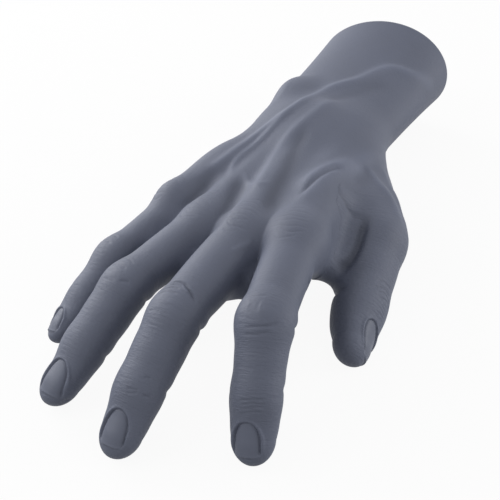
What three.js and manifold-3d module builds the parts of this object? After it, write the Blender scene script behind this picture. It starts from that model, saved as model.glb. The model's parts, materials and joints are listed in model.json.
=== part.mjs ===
// Posable silicone mannequin hand, a right hand lying palm down.
// A soft silicone skin is cast round a hinged metal armature: a palm plate, two or three links
// to a digit, a pin in each hinge, and a wrist post that ends in a plate at the cut forearm.
// Lengths are millimetres. Fingers point along -Y, the thumb lies on +X, the back of the hand is +Z.

import * as THREE from 'three';
import { mergeVertices } from 'three/addons/utils/BufferGeometryUtils.js';
import Module from 'manifold-3d';

const wasm = await Module();
wasm.setup();

// Pose of the hand over the table
const wristPlace = [-9.3, 94.8, 26.5];
const palmPitch = -4.1;
const palmRoll = -10;
const tableHeight = 0.6;

// Digits: knuckle place in the palm's axes, turns in degrees, bone lengths, and the half width of
// the flesh at the knuckle, half way, the next joint, half way, the last joint, half way, the end
const digits = {
  index: {
    knuckle: [27.7, -90.8, 1], splay: 9.7, drop: 0, roll: 0.8,
    flex: [7.3, 38.8, 8.9], bones: [45.8, 26.2, 15],
    halfWidths: [10.6, 10.2, 10, 9.7, 8.4, 9, 8.2], tip: 10, webEnd: 26,
  },
  middle: {
    knuckle: [7.5, -93, 1.6], splay: -6.6, drop: 0, roll: 2,
    flex: [7.5, 24.1, 6], bones: [49.9, 30, 16],
    halfWidths: [11, 10.9, 9.9, 10.2, 8.8, 8.9, 8.2], tip: 9.8, webEnd: 27,
  },
  ring: {
    knuckle: [-13.9, -87.5, -0.2], splay: -16.8, drop: 0, roll: -5.7,
    flex: [4.6, 22.5, 0.7], bones: [46.1, 28, 16.1],
    halfWidths: [10.8, 9.7, 9.4, 9.8, 8.7, 8.6, 8.1], tip: 9.8, webEnd: 26,
  },
  little: {
    knuckle: [-34.2, -78.2, -0.9], splay: -20.5, drop: 0, roll: -14.6,
    flex: [8.7, 16.5, -0.5], bones: [36.2, 19.9, 14.4],
    halfWidths: [10, 8.1, 8.1, 8, 6.9, 7.8, 6.7], tip: 8.9, webEnd: 21,
  },
  thumb: {
    knuckle: [25, -15.3, -9.7], splay: 29.9, drop: 11.3, roll: 66.7,
    flex: [-0.4, 25.6, -5.8], bones: [45.5, 33.6, 18.2],
    halfWidths: [12.5, 12.3, 12.2, 12, 11.2, 11.2, 9.1], tip: 9.5,
  },
};
// Height of the back and depth of the pad, as shares of the half width at the same places
const backShare = [0.85, 0.9, 0.83, 0.87, 0.82, 0.71, 0.71];
const padShare = [1.06, 1.05, 0.91, 1.01, 0.86, 1, 0.93];

// Flesh over the four bones of the palm, from its wrist end to the knuckle
const palmRays = {
  index: {
    start: [14, -7, -1],
    halfWidths: [13.5, 10.8, 12.4], backs: [11.5, 10.5, 9.8], pads: [14.2, 14.5, 16.5],
  },
  middle: {
    start: [3, -10, 2],
    halfWidths: [10, 10.5, 11.2], backs: [12, 11, 10.2], pads: [14, 14.5, 16],
  },
  ring: {
    start: [-6.2, -10, 0.7],
    halfWidths: [9.5, 10, 10.8], backs: [11.5, 10.5, 9.6], pads: [14, 14.5, 15.5],
  },
  little: {
    start: [-13.8, -9.8, -3],
    halfWidths: [8.6, 11.2, 9.2], backs: [9.4, 11.6, 12.2], pads: [13, 13.5, 14],
  },
};
const thumbHeel = { place: [18.7, -36.5, -13], turn: 18, radii: [13.5, 27, 12] };
const littleHeel = { place: [-27.7, -41.4, -7], turn: -10, radii: [12.7, 30, 15.7] };
const firstWeb = [
  { from: [38.5, -42.5, -12], to: [24, -60, -3], fromRadius: 10, toRadius: 10 },
  { from: [41.2, -68.3, -25.1], to: [27.7, -84.3, -12.3], fromRadius: 7.7, toRadius: 7.3 },
];
const fingerWebs = [
  { between: ['index', 'middle'], along: 20.6, height: -9, radius: 5.6 },
  { between: ['middle', 'ring'], along: 21, height: -7, radius: 5.5 },
  { between: ['ring', 'little'], along: 19, height: -6, radius: 5.5 },
];
// A pad runs back from the middle of each web between the knuckles
const webPad = { along: 0, height: -6.5, radius: 7.5 };

// Forearm: it runs back from the wrist and ends in a slanted cut
const forearm = {
  splay: -2.6, rise: 1.1, roll: 10.2, length: 73.3, cutPitch: -10.5, cutYaw: 6.5, cutTurnStart: 0.5,
  wristLap: 5, spare: 15,
  halfWidths: [34.2, 31.5, 29.2], backs: [27.7, 18.4, 17.1], pads: [26.5, 20.6, 22.5],
};
const ulnaHead = { place: [-18.4, 10.3, 6.2], radii: [10.2, 15.6, 10.5] };

// Reach of the soft fillets between neighbouring forms
const fillet = {
  bone: 5, finger: 6, thumb: 8, web: 5, firstWeb: 8, firstWebRods: 6,
  palm: 7, heel: 12, wrist: 14, ulna: 6,
};

// Armature: eye radius, tongue and cheek thickness and pin radius at the knuckle, middle and end hinge
const hinges = [
  { eye: 3.8, tongue: 3.2, cheek: 2, pin: 1.4 },
  { eye: 3.3, tongue: 2.8, cheek: 1.8, pin: 1.2 },
  { eye: 2.8, tongue: 2.4, cheek: 1.5, pin: 1 },
];
const gap = 0.3;
const eyeClearance = 0.6;
const forkDepth = 5;
const barWidth = 8;
const barHeight = 5;
const weldLap = 1;
const tipLinkLap = 2;
const hub = { low: [-21, -22, -7], high: [23, -4, 7] };
const postRadius = 4.5;
const postSocket = 8;
const plate = { halfWidth: 27, halfHeight: 18, thickness: 5, floor: 2.2 };

// Seams of the flesh, measured from the hinge
const knuckleSeam = 6;
const middleSeam = 8;
const endSeam = 5.5;
const thumbSeam = 8;
const thumbPadSeam = 10;
const thumbPadDepth = 10;
const thumbWebSeam = 8;

// Names of the link and the pin at each hinge, from the palm outwards
const fingerHinges = [
  { link: 'lower', pin: 'knuckle' }, { link: 'middle', pin: 'middle' }, { link: 'tip', pin: 'end' },
];
const thumbHinges = [{ link: 'lower', pin: 'knuckle' }, { link: 'tip', pin: 'end' }];

// Fineness of the mesh, and how far from a bone its skin is looked for
const fingerSides = 16;
const fingerStep = 6;
const palmSides = 38;
const palmStep = 7;
const palmOval = 1.8;
const palmMiddle = 4;
const bendShares = [0, 0.33, 0.67, 1];
const tipAngles = [25, 48, 70];
const eyeSegments = 4;
const plateSegments = 14;
const pinSides = 10;
const digitReach = 20;
const webReach = 18;
const thumbReach = 24;
const rayStep = 1;
const rayExactness = 1e-3;
const samePlace = 1e-4;
const worldSize = 400;

const UP = new THREE.Vector3(0, 0, 1);
const radians = THREE.MathUtils.degToRad;
const turnX = (angle) => new THREE.Matrix4().makeRotationX(radians(angle));
const turnY = (angle) => new THREE.Matrix4().makeRotationY(radians(angle));
const turnZ = (angle) => new THREE.Matrix4().makeRotationZ(radians(angle));
const shift = (x, y, z) => new THREE.Matrix4().makeTranslation(x, y, z);
const chain = (...steps) => steps.reduce((sum, step) => sum.multiply(step), new THREE.Matrix4());
const at = (frame, x, y, z) => new THREE.Vector3(x, y, z).applyMatrix4(frame);
const columnOf = (frame, index) => new THREE.Vector3().setFromMatrixColumn(frame, index);
const middleOf = (a, b) => a.clone().add(b).multiplyScalar(0.5);

// Frames: the palm, the forearm, its cut end, and one for each bone of each digit
const palmFrame = chain(shift(...wristPlace), turnX(palmPitch), turnY(palmRoll));
const armFrame = chain(palmFrame, turnZ(forearm.splay), turnX(forearm.rise), turnY(forearm.roll));
const armSection = (along, share) =>
  chain(armFrame, shift(0, along, 0), turnX(forearm.cutPitch * share), turnZ(forearm.cutYaw * share));
const cutFrame = armSection(forearm.length, 1);

function boneFrames(digit) {
  const root = chain(palmFrame, shift(...digit.knuckle));
  let frame = chain(root, turnZ(digit.splay), turnX(digit.drop), turnY(digit.roll));
  return digit.bones.map((length, index) => {
    frame = chain(frame, turnX(digit.flex[index]));
    const bone = frame;
    frame = chain(frame, shift(0, -length, 0));
    return bone;
  });
}
const bones = Object.fromEntries(Object.entries(digits).map(([name, digit]) => [name, boneFrames(digit)]));
const onBone = (name, index, along, height = 0) => at(bones[name][index], 0, -along, height);
// The frame of a hinge before it bends
const hingeFrame = (name, index) => chain(bones[name][index], turnX(-digits[name].flex[index]));

// Forms of the flesh, each a function that gives the distance of a point outside its surface
const local = new THREE.Vector3();
const blend = (a, b, reach) => {
  const near = Math.max(reach - Math.abs(a - b), 0) / reach;
  return Math.min(a, b) - (near * near * reach) / 4;
};
const curve = (values, share) => values[0] * (2 * share - 1) * (share - 1)
  + values[1] * 4 * share * (1 - share) + values[2] * share * (2 * share - 1);

// A limb lies along -Y of its frame: its section is an oval with its own height above and below
function limb({ frame, length, halfWidths, backs, pads, startCap, endCap }) {
  const inverse = frame.clone().invert();
  return (place) => {
    local.copy(place).applyMatrix4(inverse);
    const along = -local.y;
    const share = THREE.MathUtils.clamp(along / length, 0, 1);
    const wide = local.x / curve(halfWidths, share);
    const high = local.z / curve(local.z > 0 ? backs : pads, share);
    const past = Math.max(along - length, 0);
    const before = Math.max(-along, 0);
    const beyond = past / endCap + before / startCap;
    const scale = Math.hypot(wide, high, beyond);
    return Math.hypot(local.x, local.z, past + before) * (1 - 1 / Math.max(scale, rayExactness));
  };
}
function ball({ frame, radii }) {
  const inverse = frame.clone().invert();
  return (place) => {
    local.copy(place).applyMatrix4(inverse);
    const scale = Math.hypot(local.x / radii[0], local.y / radii[1], local.z / radii[2]);
    return local.length() * (1 - 1 / Math.max(scale, rayExactness));
  };
}
function rod(from, to, fromRadius, toRadius) {
  const line = new THREE.Line3(from, to);
  const nearest = new THREE.Vector3();
  return (place) => {
    const share = line.closestPointToPointParameter(place, true);
    return line.at(share, nearest).distanceTo(place) - THREE.MathUtils.lerp(fromRadius, toRadius, share);
  };
}
const joined = (forms, reach) => (place) =>
  forms.reduce((sum, form) => blend(sum, form(place), reach), Infinity);

function digitFlesh(name) {
  const { bones: lengths, halfWidths, tip } = digits[name];
  const limbs = lengths.map((length, index) => {
    const span = [2 * index, 2 * index + 1, 2 * index + 2];
    return limb({
      frame: bones[name][index], length,
      halfWidths: span.map((k) => halfWidths[k]),
      backs: span.map((k) => halfWidths[k] * backShare[k]),
      pads: span.map((k) => halfWidths[k] * padShare[k]),
      startCap: halfWidths[span[0]],
      endCap: index === lengths.length - 1 ? tip : halfWidths[span[2]],
    });
  });
  return joined(limbs, fillet.bone);
}

function palmRay(name) {
  const { start, halfWidths, backs, pads } = palmRays[name];
  const from = at(palmFrame, ...start);
  const to = onBone(name, 0, 0);
  const back = from.clone().sub(to).normalize();
  const side = columnOf(palmFrame, 0);
  side.addScaledVector(back, -side.dot(back)).normalize();
  return limb({
    frame: new THREE.Matrix4().makeBasis(side, back, side.clone().cross(back)).setPosition(from),
    length: from.distanceTo(to), halfWidths, backs, pads,
    startCap: halfWidths[0], endCap: halfWidths[2],
  });
}
const heel = ({ place, turn, radii }) =>
  ball({ frame: chain(palmFrame, shift(...place), turnZ(turn)), radii });

const forearmForm = limb({
  ...forearm, frame: chain(armFrame, shift(0, forearm.length + forearm.spare, 0)),
  length: forearm.length + forearm.spare + forearm.wristLap,
  startCap: forearm.halfWidths[0], endCap: forearm.halfWidths[2],
});
const ulnaForm = ball({ frame: chain(armFrame, shift(...ulnaHead.place)), radii: ulnaHead.radii });
const palmForm = joined(Object.keys(palmRays).map(palmRay), fillet.palm);
const heelForms = [heel(thumbHeel), heel(littleHeel)];
const firstWebForm = joined(firstWeb.map(({ from, to, fromRadius, toRadius }) =>
  rod(at(palmFrame, ...from), at(palmFrame, ...to), fromRadius, toRadius)), fillet.firstWebRods);
const fingerWebForms = fingerWebs.flatMap(({ between: [a, b], along, height, radius }) => {
  const [from, to] = [onBone(a, 0, along, height), onBone(b, 0, along, height)];
  const root = middleOf(onBone(a, 0, webPad.along, webPad.height), onBone(b, 0, webPad.along, webPad.height));
  return [rod(from, to, radius, radius), rod(root, middleOf(from, to), webPad.radius, radius)];
});
const thumbForm = digitFlesh('thumb');

function coreField(place) {
  let flesh = palmForm(place);
  for (const form of heelForms) flesh = blend(flesh, form(place), fillet.heel);
  flesh = blend(flesh, blend(forearmForm(place), ulnaForm(place), fillet.ulna), fillet.wrist);
  flesh = blend(flesh, firstWebForm(place), fillet.firstWeb);
  flesh = blend(flesh, Math.min(...fingerWebForms.map((form) => form(place))), fillet.web);
  return blend(flesh, thumbForm(place), fillet.thumb);
}
const fingerNames = Object.keys(palmRays);
const fingerForms = Object.fromEntries(fingerNames.map((name) => [name, digitFlesh(name)]));
const digitField = (name) => (name === 'thumb' ? coreField
  : (place) => blend(coreField(place), fingerForms[name](place), fillet.finger));
const handField = (place) => blend(coreField(place),
  Math.min(...fingerNames.map((name) => fingerForms[name](place))), fillet.finger);

// A ring of skin points: rays leave the ring's centre and stop at the surface or at the farthest reach
function skinRing(field, frame, sides, reach = Infinity, oval = 1) {
  const centre = at(frame, 0, 0, 0);
  return Array.from({ length: sides }, (_, index) => {
    const angle = (2 * Math.PI * index) / sides;
    const ray = new THREE.Vector3(oval * Math.cos(angle), 0, Math.sin(angle)).transformDirection(frame);
    const isInside = (distance) => field(centre.clone().addScaledVector(ray, distance)) < 0;
    let inside = 0;
    let outside = rayStep;
    while (outside < reach && isInside(outside)) {
      inside = outside;
      outside += rayStep;
    }
    outside = Math.min(outside, reach);
    while (outside - inside > rayExactness) {
      const between = (inside + outside) / 2;
      if (isInside(between)) inside = between;
      else outside = between;
    }
    return centre.clone().addScaledVector(ray, inside);
  });
}

// A closed mesh becomes a solid: its shared points are merged, and then it is laid in its frame
function toSolid(geometry, frame = new THREE.Matrix4()) {
  geometry.deleteAttribute('normal');
  geometry.deleteAttribute('uv');
  const merged = mergeVertices(geometry, samePlace).applyMatrix4(frame);
  return new wasm.Manifold(new wasm.Mesh({
    numProp: 3,
    vertProperties: new Float32Array(merged.attributes.position.array),
    triVerts: new Uint32Array(merged.index.array),
  }));
}
const union = (solids) => solids.reduce((sum, solid) => sum.add(solid));

// A loft joins rings one after another and closes its two ends on their middles
function loft(rings, pole) {
  const places = rings.flat();
  const sides = rings[0].length;
  const middle = (ring) =>
    ring.reduce((sum, place) => sum.addScaledVector(place, 1 / sides), new THREE.Vector3());
  places.push(middle(rings[0]), pole ?? middle(rings[rings.length - 1]));
  const first = places.length - 2;
  const last = (rings.length - 1) * sides;
  const faces = [];
  for (let index = 0; index < sides; index += 1) {
    const next = (index + 1) % sides;
    faces.push(first, next, index, first + 1, last + index, last + next);
    for (let row = 0; row < last; row += sides) {
      const [a, b, c, d] = [row + index, row + next, row + sides + next, row + sides + index];
      faces.push(a, b, c, a, c, d);
    }
  }
  const geometry = new THREE.BufferGeometry().setFromPoints(places);
  geometry.setIndex(faces);
  return toSolid(geometry);
}

function block(frame, low, high) {
  const size = high.map((value, index) => value - low[index]);
  const centre = high.map((value, index) => (value + low[index]) / 2);
  return toSolid(new THREE.BoxGeometry(...size), chain(frame, shift(...centre)));
}
// A round bar along X or Y of its frame, between two stations, with its radius to its flats
function roundBar(frame, axis, radius, from, to, sides) {
  const corner = radius / Math.cos(Math.PI / sides);
  const geometry = new THREE.CylinderGeometry(corner, corner, to - from, sides);
  const centre = (from + to) / 2;
  const lay = axis === 'x' ? chain(shift(centre, 0, 0), turnZ(90)) : shift(0, centre, 0);
  return toSolid(geometry, chain(frame, lay));
}
// All that lies on the side of a plane that its normal points to
function beyondPlane(place, normal, grow) {
  const turn = new THREE.Quaternion().setFromUnitVectors(UP, normal);
  const frame = new THREE.Matrix4().makeRotationFromQuaternion(turn).setPosition(place);
  return block(frame, [-worldSize, -worldSize, -grow], [worldSize, worldSize, worldSize]);
}

// Armature pieces. An eye is a flat plate with a round end about the hinge and a hole for the pin.
// It runs along Y from the hinge to its root and lies between two stations along X.
function eyePlate(frame, root, hinge, low, high) {
  const outline = new THREE.Shape();
  outline.moveTo(root, -hinge.eye);
  outline.absarc(0, 0, hinge.eye, -Math.PI / 2, Math.PI / 2, root > 0);
  outline.lineTo(root, hinge.eye);
  const hole = new THREE.Path();
  hole.absarc(0, 0, hinge.pin + gap, 0, 2 * Math.PI);
  outline.holes.push(hole);
  const form = { depth: high - low, bevelEnabled: false, curveSegments: eyeSegments };
  const lay = new THREE.Matrix4().set(0, 0, 1, low, 1, 0, 0, 0, 0, 1, 0, 0, 0, 0, 0, 1);
  return toSolid(new THREE.ExtrudeGeometry(outline, form), chain(frame, lay));
}
const forkHalfWidth = (hinge) => hinge.tongue / 2 + gap + hinge.cheek;
const eyeReach = (hinge) => hinge.eye + eyeClearance;

// The fork stands before the hinge, so its root lies on +Y of the hinge's frame
function fork(frame, hinge) {
  const outer = forkHalfWidth(hinge);
  const root = eyeReach(hinge);
  return union([
    eyePlate(frame, root + weldLap, hinge, outer - hinge.cheek, outer),
    eyePlate(frame, root + weldLap, hinge, -outer, hinge.cheek - outer),
    block(frame, [-outer, root, -hinge.eye], [outer, root + forkDepth, hinge.eye]),
  ]);
}

// The thumb's first bone is part of the palm, so its hinges start one bone later
const firstMoving = (name) => (name === 'thumb' ? 1 : 0);
const lastBone = (name) => digits[name].bones.length - 1;
const hingeOf = (name, bone) => hinges[bone - firstMoving(name)];

function link(name, bone) {
  const frame = bones[name][bone];
  const length = digits[name].bones[bone];
  const hinge = hingeOf(name, bone);
  const start = eyeReach(hinge);
  const tongue = eyePlate(frame, -start - weldLap, hinge, -hinge.tongue / 2, hinge.tongue / 2);
  if (bone === lastBone(name)) {
    const wide = hinge.tongue;
    return tongue.add(block(frame, [-wide, -length - tipLinkLap, -hinge.eye], [wide, -start, hinge.eye]));
  }
  const next = hingeOf(name, bone + 1);
  const wide = forkHalfWidth(next);
  const end = length - eyeReach(next) - weldLap;
  return union([
    tongue,
    block(frame, [-wide, -end, -next.eye], [wide, -start, next.eye]),
    fork(chain(frame, shift(0, -length, 0)), next),
  ]);
}
function hingePin(frame, hinge) {
  const wide = forkHalfWidth(hinge);
  return roundBar(frame, 'x', hinge.pin, -wide, wide, pinSides);
}

// A flat bar between two places, its wide side square to the back of the palm
function flatBar(from, to, grow) {
  const back = from.clone().sub(to).normalize();
  const side = back.clone().cross(columnOf(palmFrame, 2)).normalize();
  const frame = new THREE.Matrix4().makeBasis(side, back, side.clone().cross(back)).setPosition(from);
  const wide = barWidth / 2 + grow;
  const thick = barHeight / 2 + grow;
  return block(frame, [-wide, -from.distanceTo(to), -thick], [wide, 0, thick]);
}
const postBar = (from, to, grow) => roundBar(armFrame, 'y', postRadius + grow, from, to, pinSides);

// The palm plate, or with grow the room that it takes in the flesh
function palmPlate(grow) {
  const low = hub.low.map((value) => value - grow);
  const high = hub.high.map((value) => value + grow);
  const parts = [block(palmFrame, low, high)];
  const reach = hub.high[0] - barWidth / 2;
  for (const name of Object.keys(digits)) {
    const frame = hingeFrame(name, firstMoving(name));
    const side = THREE.MathUtils.clamp(digits[name].knuckle[0], -reach, reach);
    const start = at(palmFrame, side, (hub.low[1] + hub.high[1]) / 2, 0);
    parts.push(flatBar(start, at(frame, 0, eyeReach(hinges[0]) + forkDepth - weldLap, 0), grow));
    parts.push(grow > 0 ? hingeRoom(frame, hinges[0]) : fork(frame, hinges[0]));
  }
  return union(parts);
}
// Room in the flesh for a hinge with its fork, and for the link of each bone with its own fork
function hingeRoom(frame, hinge) {
  const wide = forkHalfWidth(hinge) + gap;
  const eye = hinge.eye + gap;
  return block(frame, [-wide, -eye, -eye], [wide, eyeReach(hinge) + forkDepth + gap, eye]);
}
function linkRoom(name, bone) {
  const last = bone === lastBone(name);
  const hinge = hingeOf(name, bone);
  const next = last ? hinge : hingeOf(name, bone + 1);
  const wide = (last ? hinge.tongue : forkHalfWidth(next)) + gap;
  const end = digits[name].bones[bone] + (last ? tipLinkLap : next.eye) + gap;
  return block(bones[name][bone], [-wide, -end, -hinge.eye - gap], [wide, 0, hinge.eye + gap]);
}
function digitRoom(name) {
  const moving = digits[name].bones.map((_, bone) => bone).slice(firstMoving(name));
  return union(moving.map((bone) => linkRoom(name, bone)));
}

// The wrist plate is let into the cut end of the forearm, with its outer face flush
function ovalPlate(grow, proud) {
  const outline = new THREE.Shape();
  outline.absellipse(0, 0, plate.halfWidth + grow, plate.halfHeight + grow, 0, 2 * Math.PI);
  const form = { depth: plate.thickness + grow + proud, bevelEnabled: false, curveSegments: plateSegments };
  const lay = new THREE.Matrix4().set(1, 0, 0, 0, 0, 0, -1, proud, 0, 1, 0, 0, 0, 0, 0, 1);
  return toSolid(new THREE.ExtrudeGeometry(outline, form), chain(cutFrame, lay));
}
const postFoot = hub.high[1] - postSocket;
const postHead = forearm.length - plate.floor;
const wristPlate = ovalPlate(0, 0).subtract(postBar(0, postHead, gap));
const wristPost = postBar(postFoot, postHead - gap, 0);
const plateRoom = ovalPlate(gap, weldLap);
const postChannel = postBar(postFoot - gap, postHead, gap);

// Seam planes that part the digits from each other and from the palm
const halfGap = gap / 2;
function sidePlane(a, b, reachA, reachB) {
  const near = middleOf(reachA[0], reachB[0]);
  const far = middleOf(reachA[1], reachB[1]);
  const across = reachB[0].clone().sub(reachA[0]).add(reachB[1]).sub(reachA[1]).normalize();
  const along = far.clone().sub(near).normalize();
  across.addScaledVector(along, -across.dot(along)).normalize();
  return { between: [a, b], place: near, across };
}
const sidePlanes = [
  ...fingerWebs.map(({ between: [a, b], along }) => sidePlane(a, b,
    [onBone(a, 0, 0), onBone(a, 0, along)], [onBone(b, 0, 0), onBone(b, 0, along)])),
  sidePlane('thumb', 'index',
    [onBone('thumb', 1, 0), onBone('thumb', 2, 0)],
    [middleOf(onBone('index', 0, 0), at(palmFrame, ...palmRays.index.start)), onBone('index', 0, 0)]),
];
// What lies beyond a digit's seam with the palm, on its own side of the seams with its neighbours
function besidePlanes(name, grow) {
  return sidePlanes.filter((plane) => plane.between.includes(name)).map(({ between, place, across }) =>
    beyondPlane(place, between[0] === name ? across.clone().negate() : across, grow));
}
function digitRegion(name, grow) {
  const bone = bones[name][0];
  const along = name === 'thumb' ? digits.thumb.bones[0] - thumbSeam : -knuckleSeam;
  const forward = new THREE.Vector3(0, -1, 0).transformDirection(bone);
  const sides = besidePlanes(name, grow);
  return sides.reduce((sum, side) => sum.intersect(side), beyondPlane(at(bone, 0, -along, 0), forward, grow));
}

// Rings of skin along a digit
function straightRings(name, bone, from, to, reach = digitReach) {
  const steps = Math.max(1, Math.round((to - from) / fingerStep));
  return Array.from({ length: steps + 1 }, (_, step) => {
    const along = THREE.MathUtils.lerp(from, to, step / steps);
    return skinRing(digitField(name), chain(bones[name][bone], shift(0, -along, 0)), fingerSides, reach);
  });
}
// Over a bend the rings fan about the hinge, from one bone's section to the next one's
function bendRings(name, bone, seam, reach = digitReach) {
  return bendShares.map((share) => {
    const along = THREE.MathUtils.lerp(halfGap - seam, seam - halfGap, share);
    const bend = turnX(digits[name].flex[bone] * share);
    const frame = chain(hingeFrame(name, bone), bend, shift(0, -along, 0));
    return skinRing(digitField(name), frame, fingerSides, reach);
  });
}
function tipSolid(name, seam) {
  const bone = lastBone(name);
  const { bones: lengths, tip } = digits[name];
  const rings = straightRings(name, bone, seam + halfGap, lengths[bone]);
  for (const angle of tipAngles) {
    const along = lengths[bone] + tip * Math.sin(radians(angle));
    const frame = chain(bones[name][bone], shift(0, -along, 0));
    rings.push(skinRing(digitField(name), frame, fingerSides, digitReach));
  }
  return loft(rings, onBone(name, bone, lengths[bone] + tip));
}

// The flesh of a finger: three stiff pieces and the three sleeves that bend over its hinges
function fingerFlesh(name) {
  const { bones: lengths, webEnd } = digits[name];
  const knuckle = loft(straightRings(name, 0, -knuckleSeam - weldLap, webEnd - halfGap, webReach));
  const lower = loft(straightRings(name, 0, webEnd + halfGap, lengths[0] - middleSeam - halfGap));
  return {
    knuckle_sleeve: knuckle.intersect(digitRegion(name, -halfGap)),
    lower_flesh: lower.intersect(digitRegion(name, -halfGap)),
    middle_sleeve: loft(bendRings(name, 1, middleSeam)),
    middle_flesh: loft(straightRings(name, 1, middleSeam + halfGap, lengths[1] - endSeam - halfGap)),
    end_sleeve: loft(bendRings(name, 2, endSeam)),
    tip_flesh: tipSolid(name, endSeam),
  };
}
// The thumb's first sleeve also holds the web and the pad at its root
function thumbFlesh() {
  const end = digits.thumb.bones[1] - middleSeam - halfGap;
  const bend = bendRings('thumb', 1, thumbSeam + weldLap, thumbReach).slice(0, -1);
  const rings = [...bend, ...straightRings('thumb', 1, thumbSeam, end, thumbReach)];
  const root = loft(rings).intersect(digitRegion('thumb', -halfGap));
  const beyondPad = (grow) => block(
    bones.thumb[1],
    [-worldSize, -worldSize, -thumbPadDepth - grow],
    [worldSize, grow - thumbPadSeam, worldSize],
  );
  const stiff = (grow) => besidePlanes('thumb', grow - thumbWebSeam)[0].intersect(beyondPad(grow));
  return {
    knuckle_sleeve: root.subtract(stiff(halfGap)),
    lower_flesh: root.intersect(stiff(-halfGap)),
    end_sleeve: loft(bendRings('thumb', 2, middleSeam)),
    tip_flesh: tipSolid('thumb', middleSeam),
  };
}

// The flesh of the palm and the forearm, lofted from the slanted cut to beyond the knuckles
function palmLoft() {
  const armSteps = Math.round(forearm.length / palmStep);
  const armRings = Array.from({ length: armSteps }, (_, step) => {
    const share = 1 - step / armSteps;
    const turn = THREE.MathUtils.smoothstep(share, forearm.cutTurnStart, 1);
    return skinRing(handField, armSection(forearm.length * share, turn), palmSides, Infinity, palmOval);
  });
  const palmEnd = Math.max(...fingerNames.map((name) => -digits[name].knuckle[1]));
  const palmSteps = Math.round(palmEnd / palmStep);
  const palmRings = Array.from({ length: palmSteps + 1 }, (_, step) => {
    const share = step / palmSteps;
    const frame = chain(palmFrame, shift(palmMiddle * share, -palmEnd * share, -palmMiddle / 2));
    return skinRing(handField, frame, palmSides, Infinity, palmOval);
  });
  return loft([...armRings, ...palmRings]);
}

// Finishes
const silicone = () => new THREE.MeshStandardMaterial({ color: 0x646873, roughness: 0.62, metalness: 0 });
const aluminium = () => new THREE.MeshStandardMaterial({ color: 0xb4b6b8, roughness: 0.4, metalness: 1 });
const steel = () => new THREE.MeshStandardMaterial({ color: 0x8c8e91, roughness: 0.3, metalness: 1 });
const plastic = () => new THREE.MeshStandardMaterial({ color: 0x3a3c40, roughness: 0.5, metalness: 0 });

const hand = new THREE.Group();
function addPiece(name, solid, material) {
  const { vertProperties, triVerts } = solid.getMesh();
  const geometry = new THREE.BufferGeometry();
  geometry.setAttribute('position', new THREE.BufferAttribute(vertProperties, 3));
  geometry.setIndex(new THREE.BufferAttribute(triVerts, 1));
  geometry.computeVertexNormals();
  const mesh = new THREE.Mesh(geometry, material);
  mesh.name = name;
  hand.add(mesh);
}
const aboveTable = beyondPlane(new THREE.Vector3(0, 0, tableHeight), UP, 0);

// Palm
const rooms = Object.fromEntries(Object.keys(digits).map((name) => [name, digitRoom(name)]));
const plateAndForks = palmPlate(gap);
let palmFlesh = palmLoft();
for (const name of Object.keys(digits)) {
  palmFlesh = palmFlesh.subtract(digitRegion(name, halfGap)).subtract(rooms[name]);
}
palmFlesh = palmFlesh.subtract(plateAndForks).subtract(plateRoom).subtract(postChannel).intersect(aboveTable);
addPiece('palm_flesh', palmFlesh, silicone());
addPiece('palm_plate', palmPlate(0).subtract(postChannel), aluminium());
addPiece('wrist_post', wristPost, steel());
addPiece('wrist_plate', wristPlate, plastic());

// Digits
for (const name of Object.keys(digits)) {
  const flesh = name === 'thumb' ? thumbFlesh() : fingerFlesh(name);
  for (const [part, solid] of Object.entries(flesh)) {
    const clear = solid.subtract(rooms[name]).subtract(plateAndForks).intersect(aboveTable);
    addPiece(`${name}_${part}`, clear, silicone());
  }
  for (let bone = firstMoving(name); bone <= lastBone(name); bone += 1) {
    const named = (name === 'thumb' ? thumbHinges : fingerHinges)[bone - firstMoving(name)];
    addPiece(`${name}_${named.link}_link`, link(name, bone), aluminium());
    addPiece(`${name}_${named.pin}_pin`, hingePin(hingeFrame(name, bone), hingeOf(name, bone)), steel());
  }
}

// The origin is on the table, under the middle of the hand
const box = new THREE.Box3().setFromObject(hand);
const centre = box.getCenter(new THREE.Vector3());
hand.position.set(-centre.x, -centre.y, -box.min.z);

export default hand;
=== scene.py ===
# %% [markdown]
# # A posable silicone hand, palm down
#
# The real object is a life-size right hand cast in soft blue-grey silicone round a hinged metal
# armature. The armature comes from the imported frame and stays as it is. This script makes the skin:
# one smooth surface with nails, knuckle wrinkles, veins, tendons and palm creases, which bends at
# every hinge.

# %% Load the frame
import json

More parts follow.
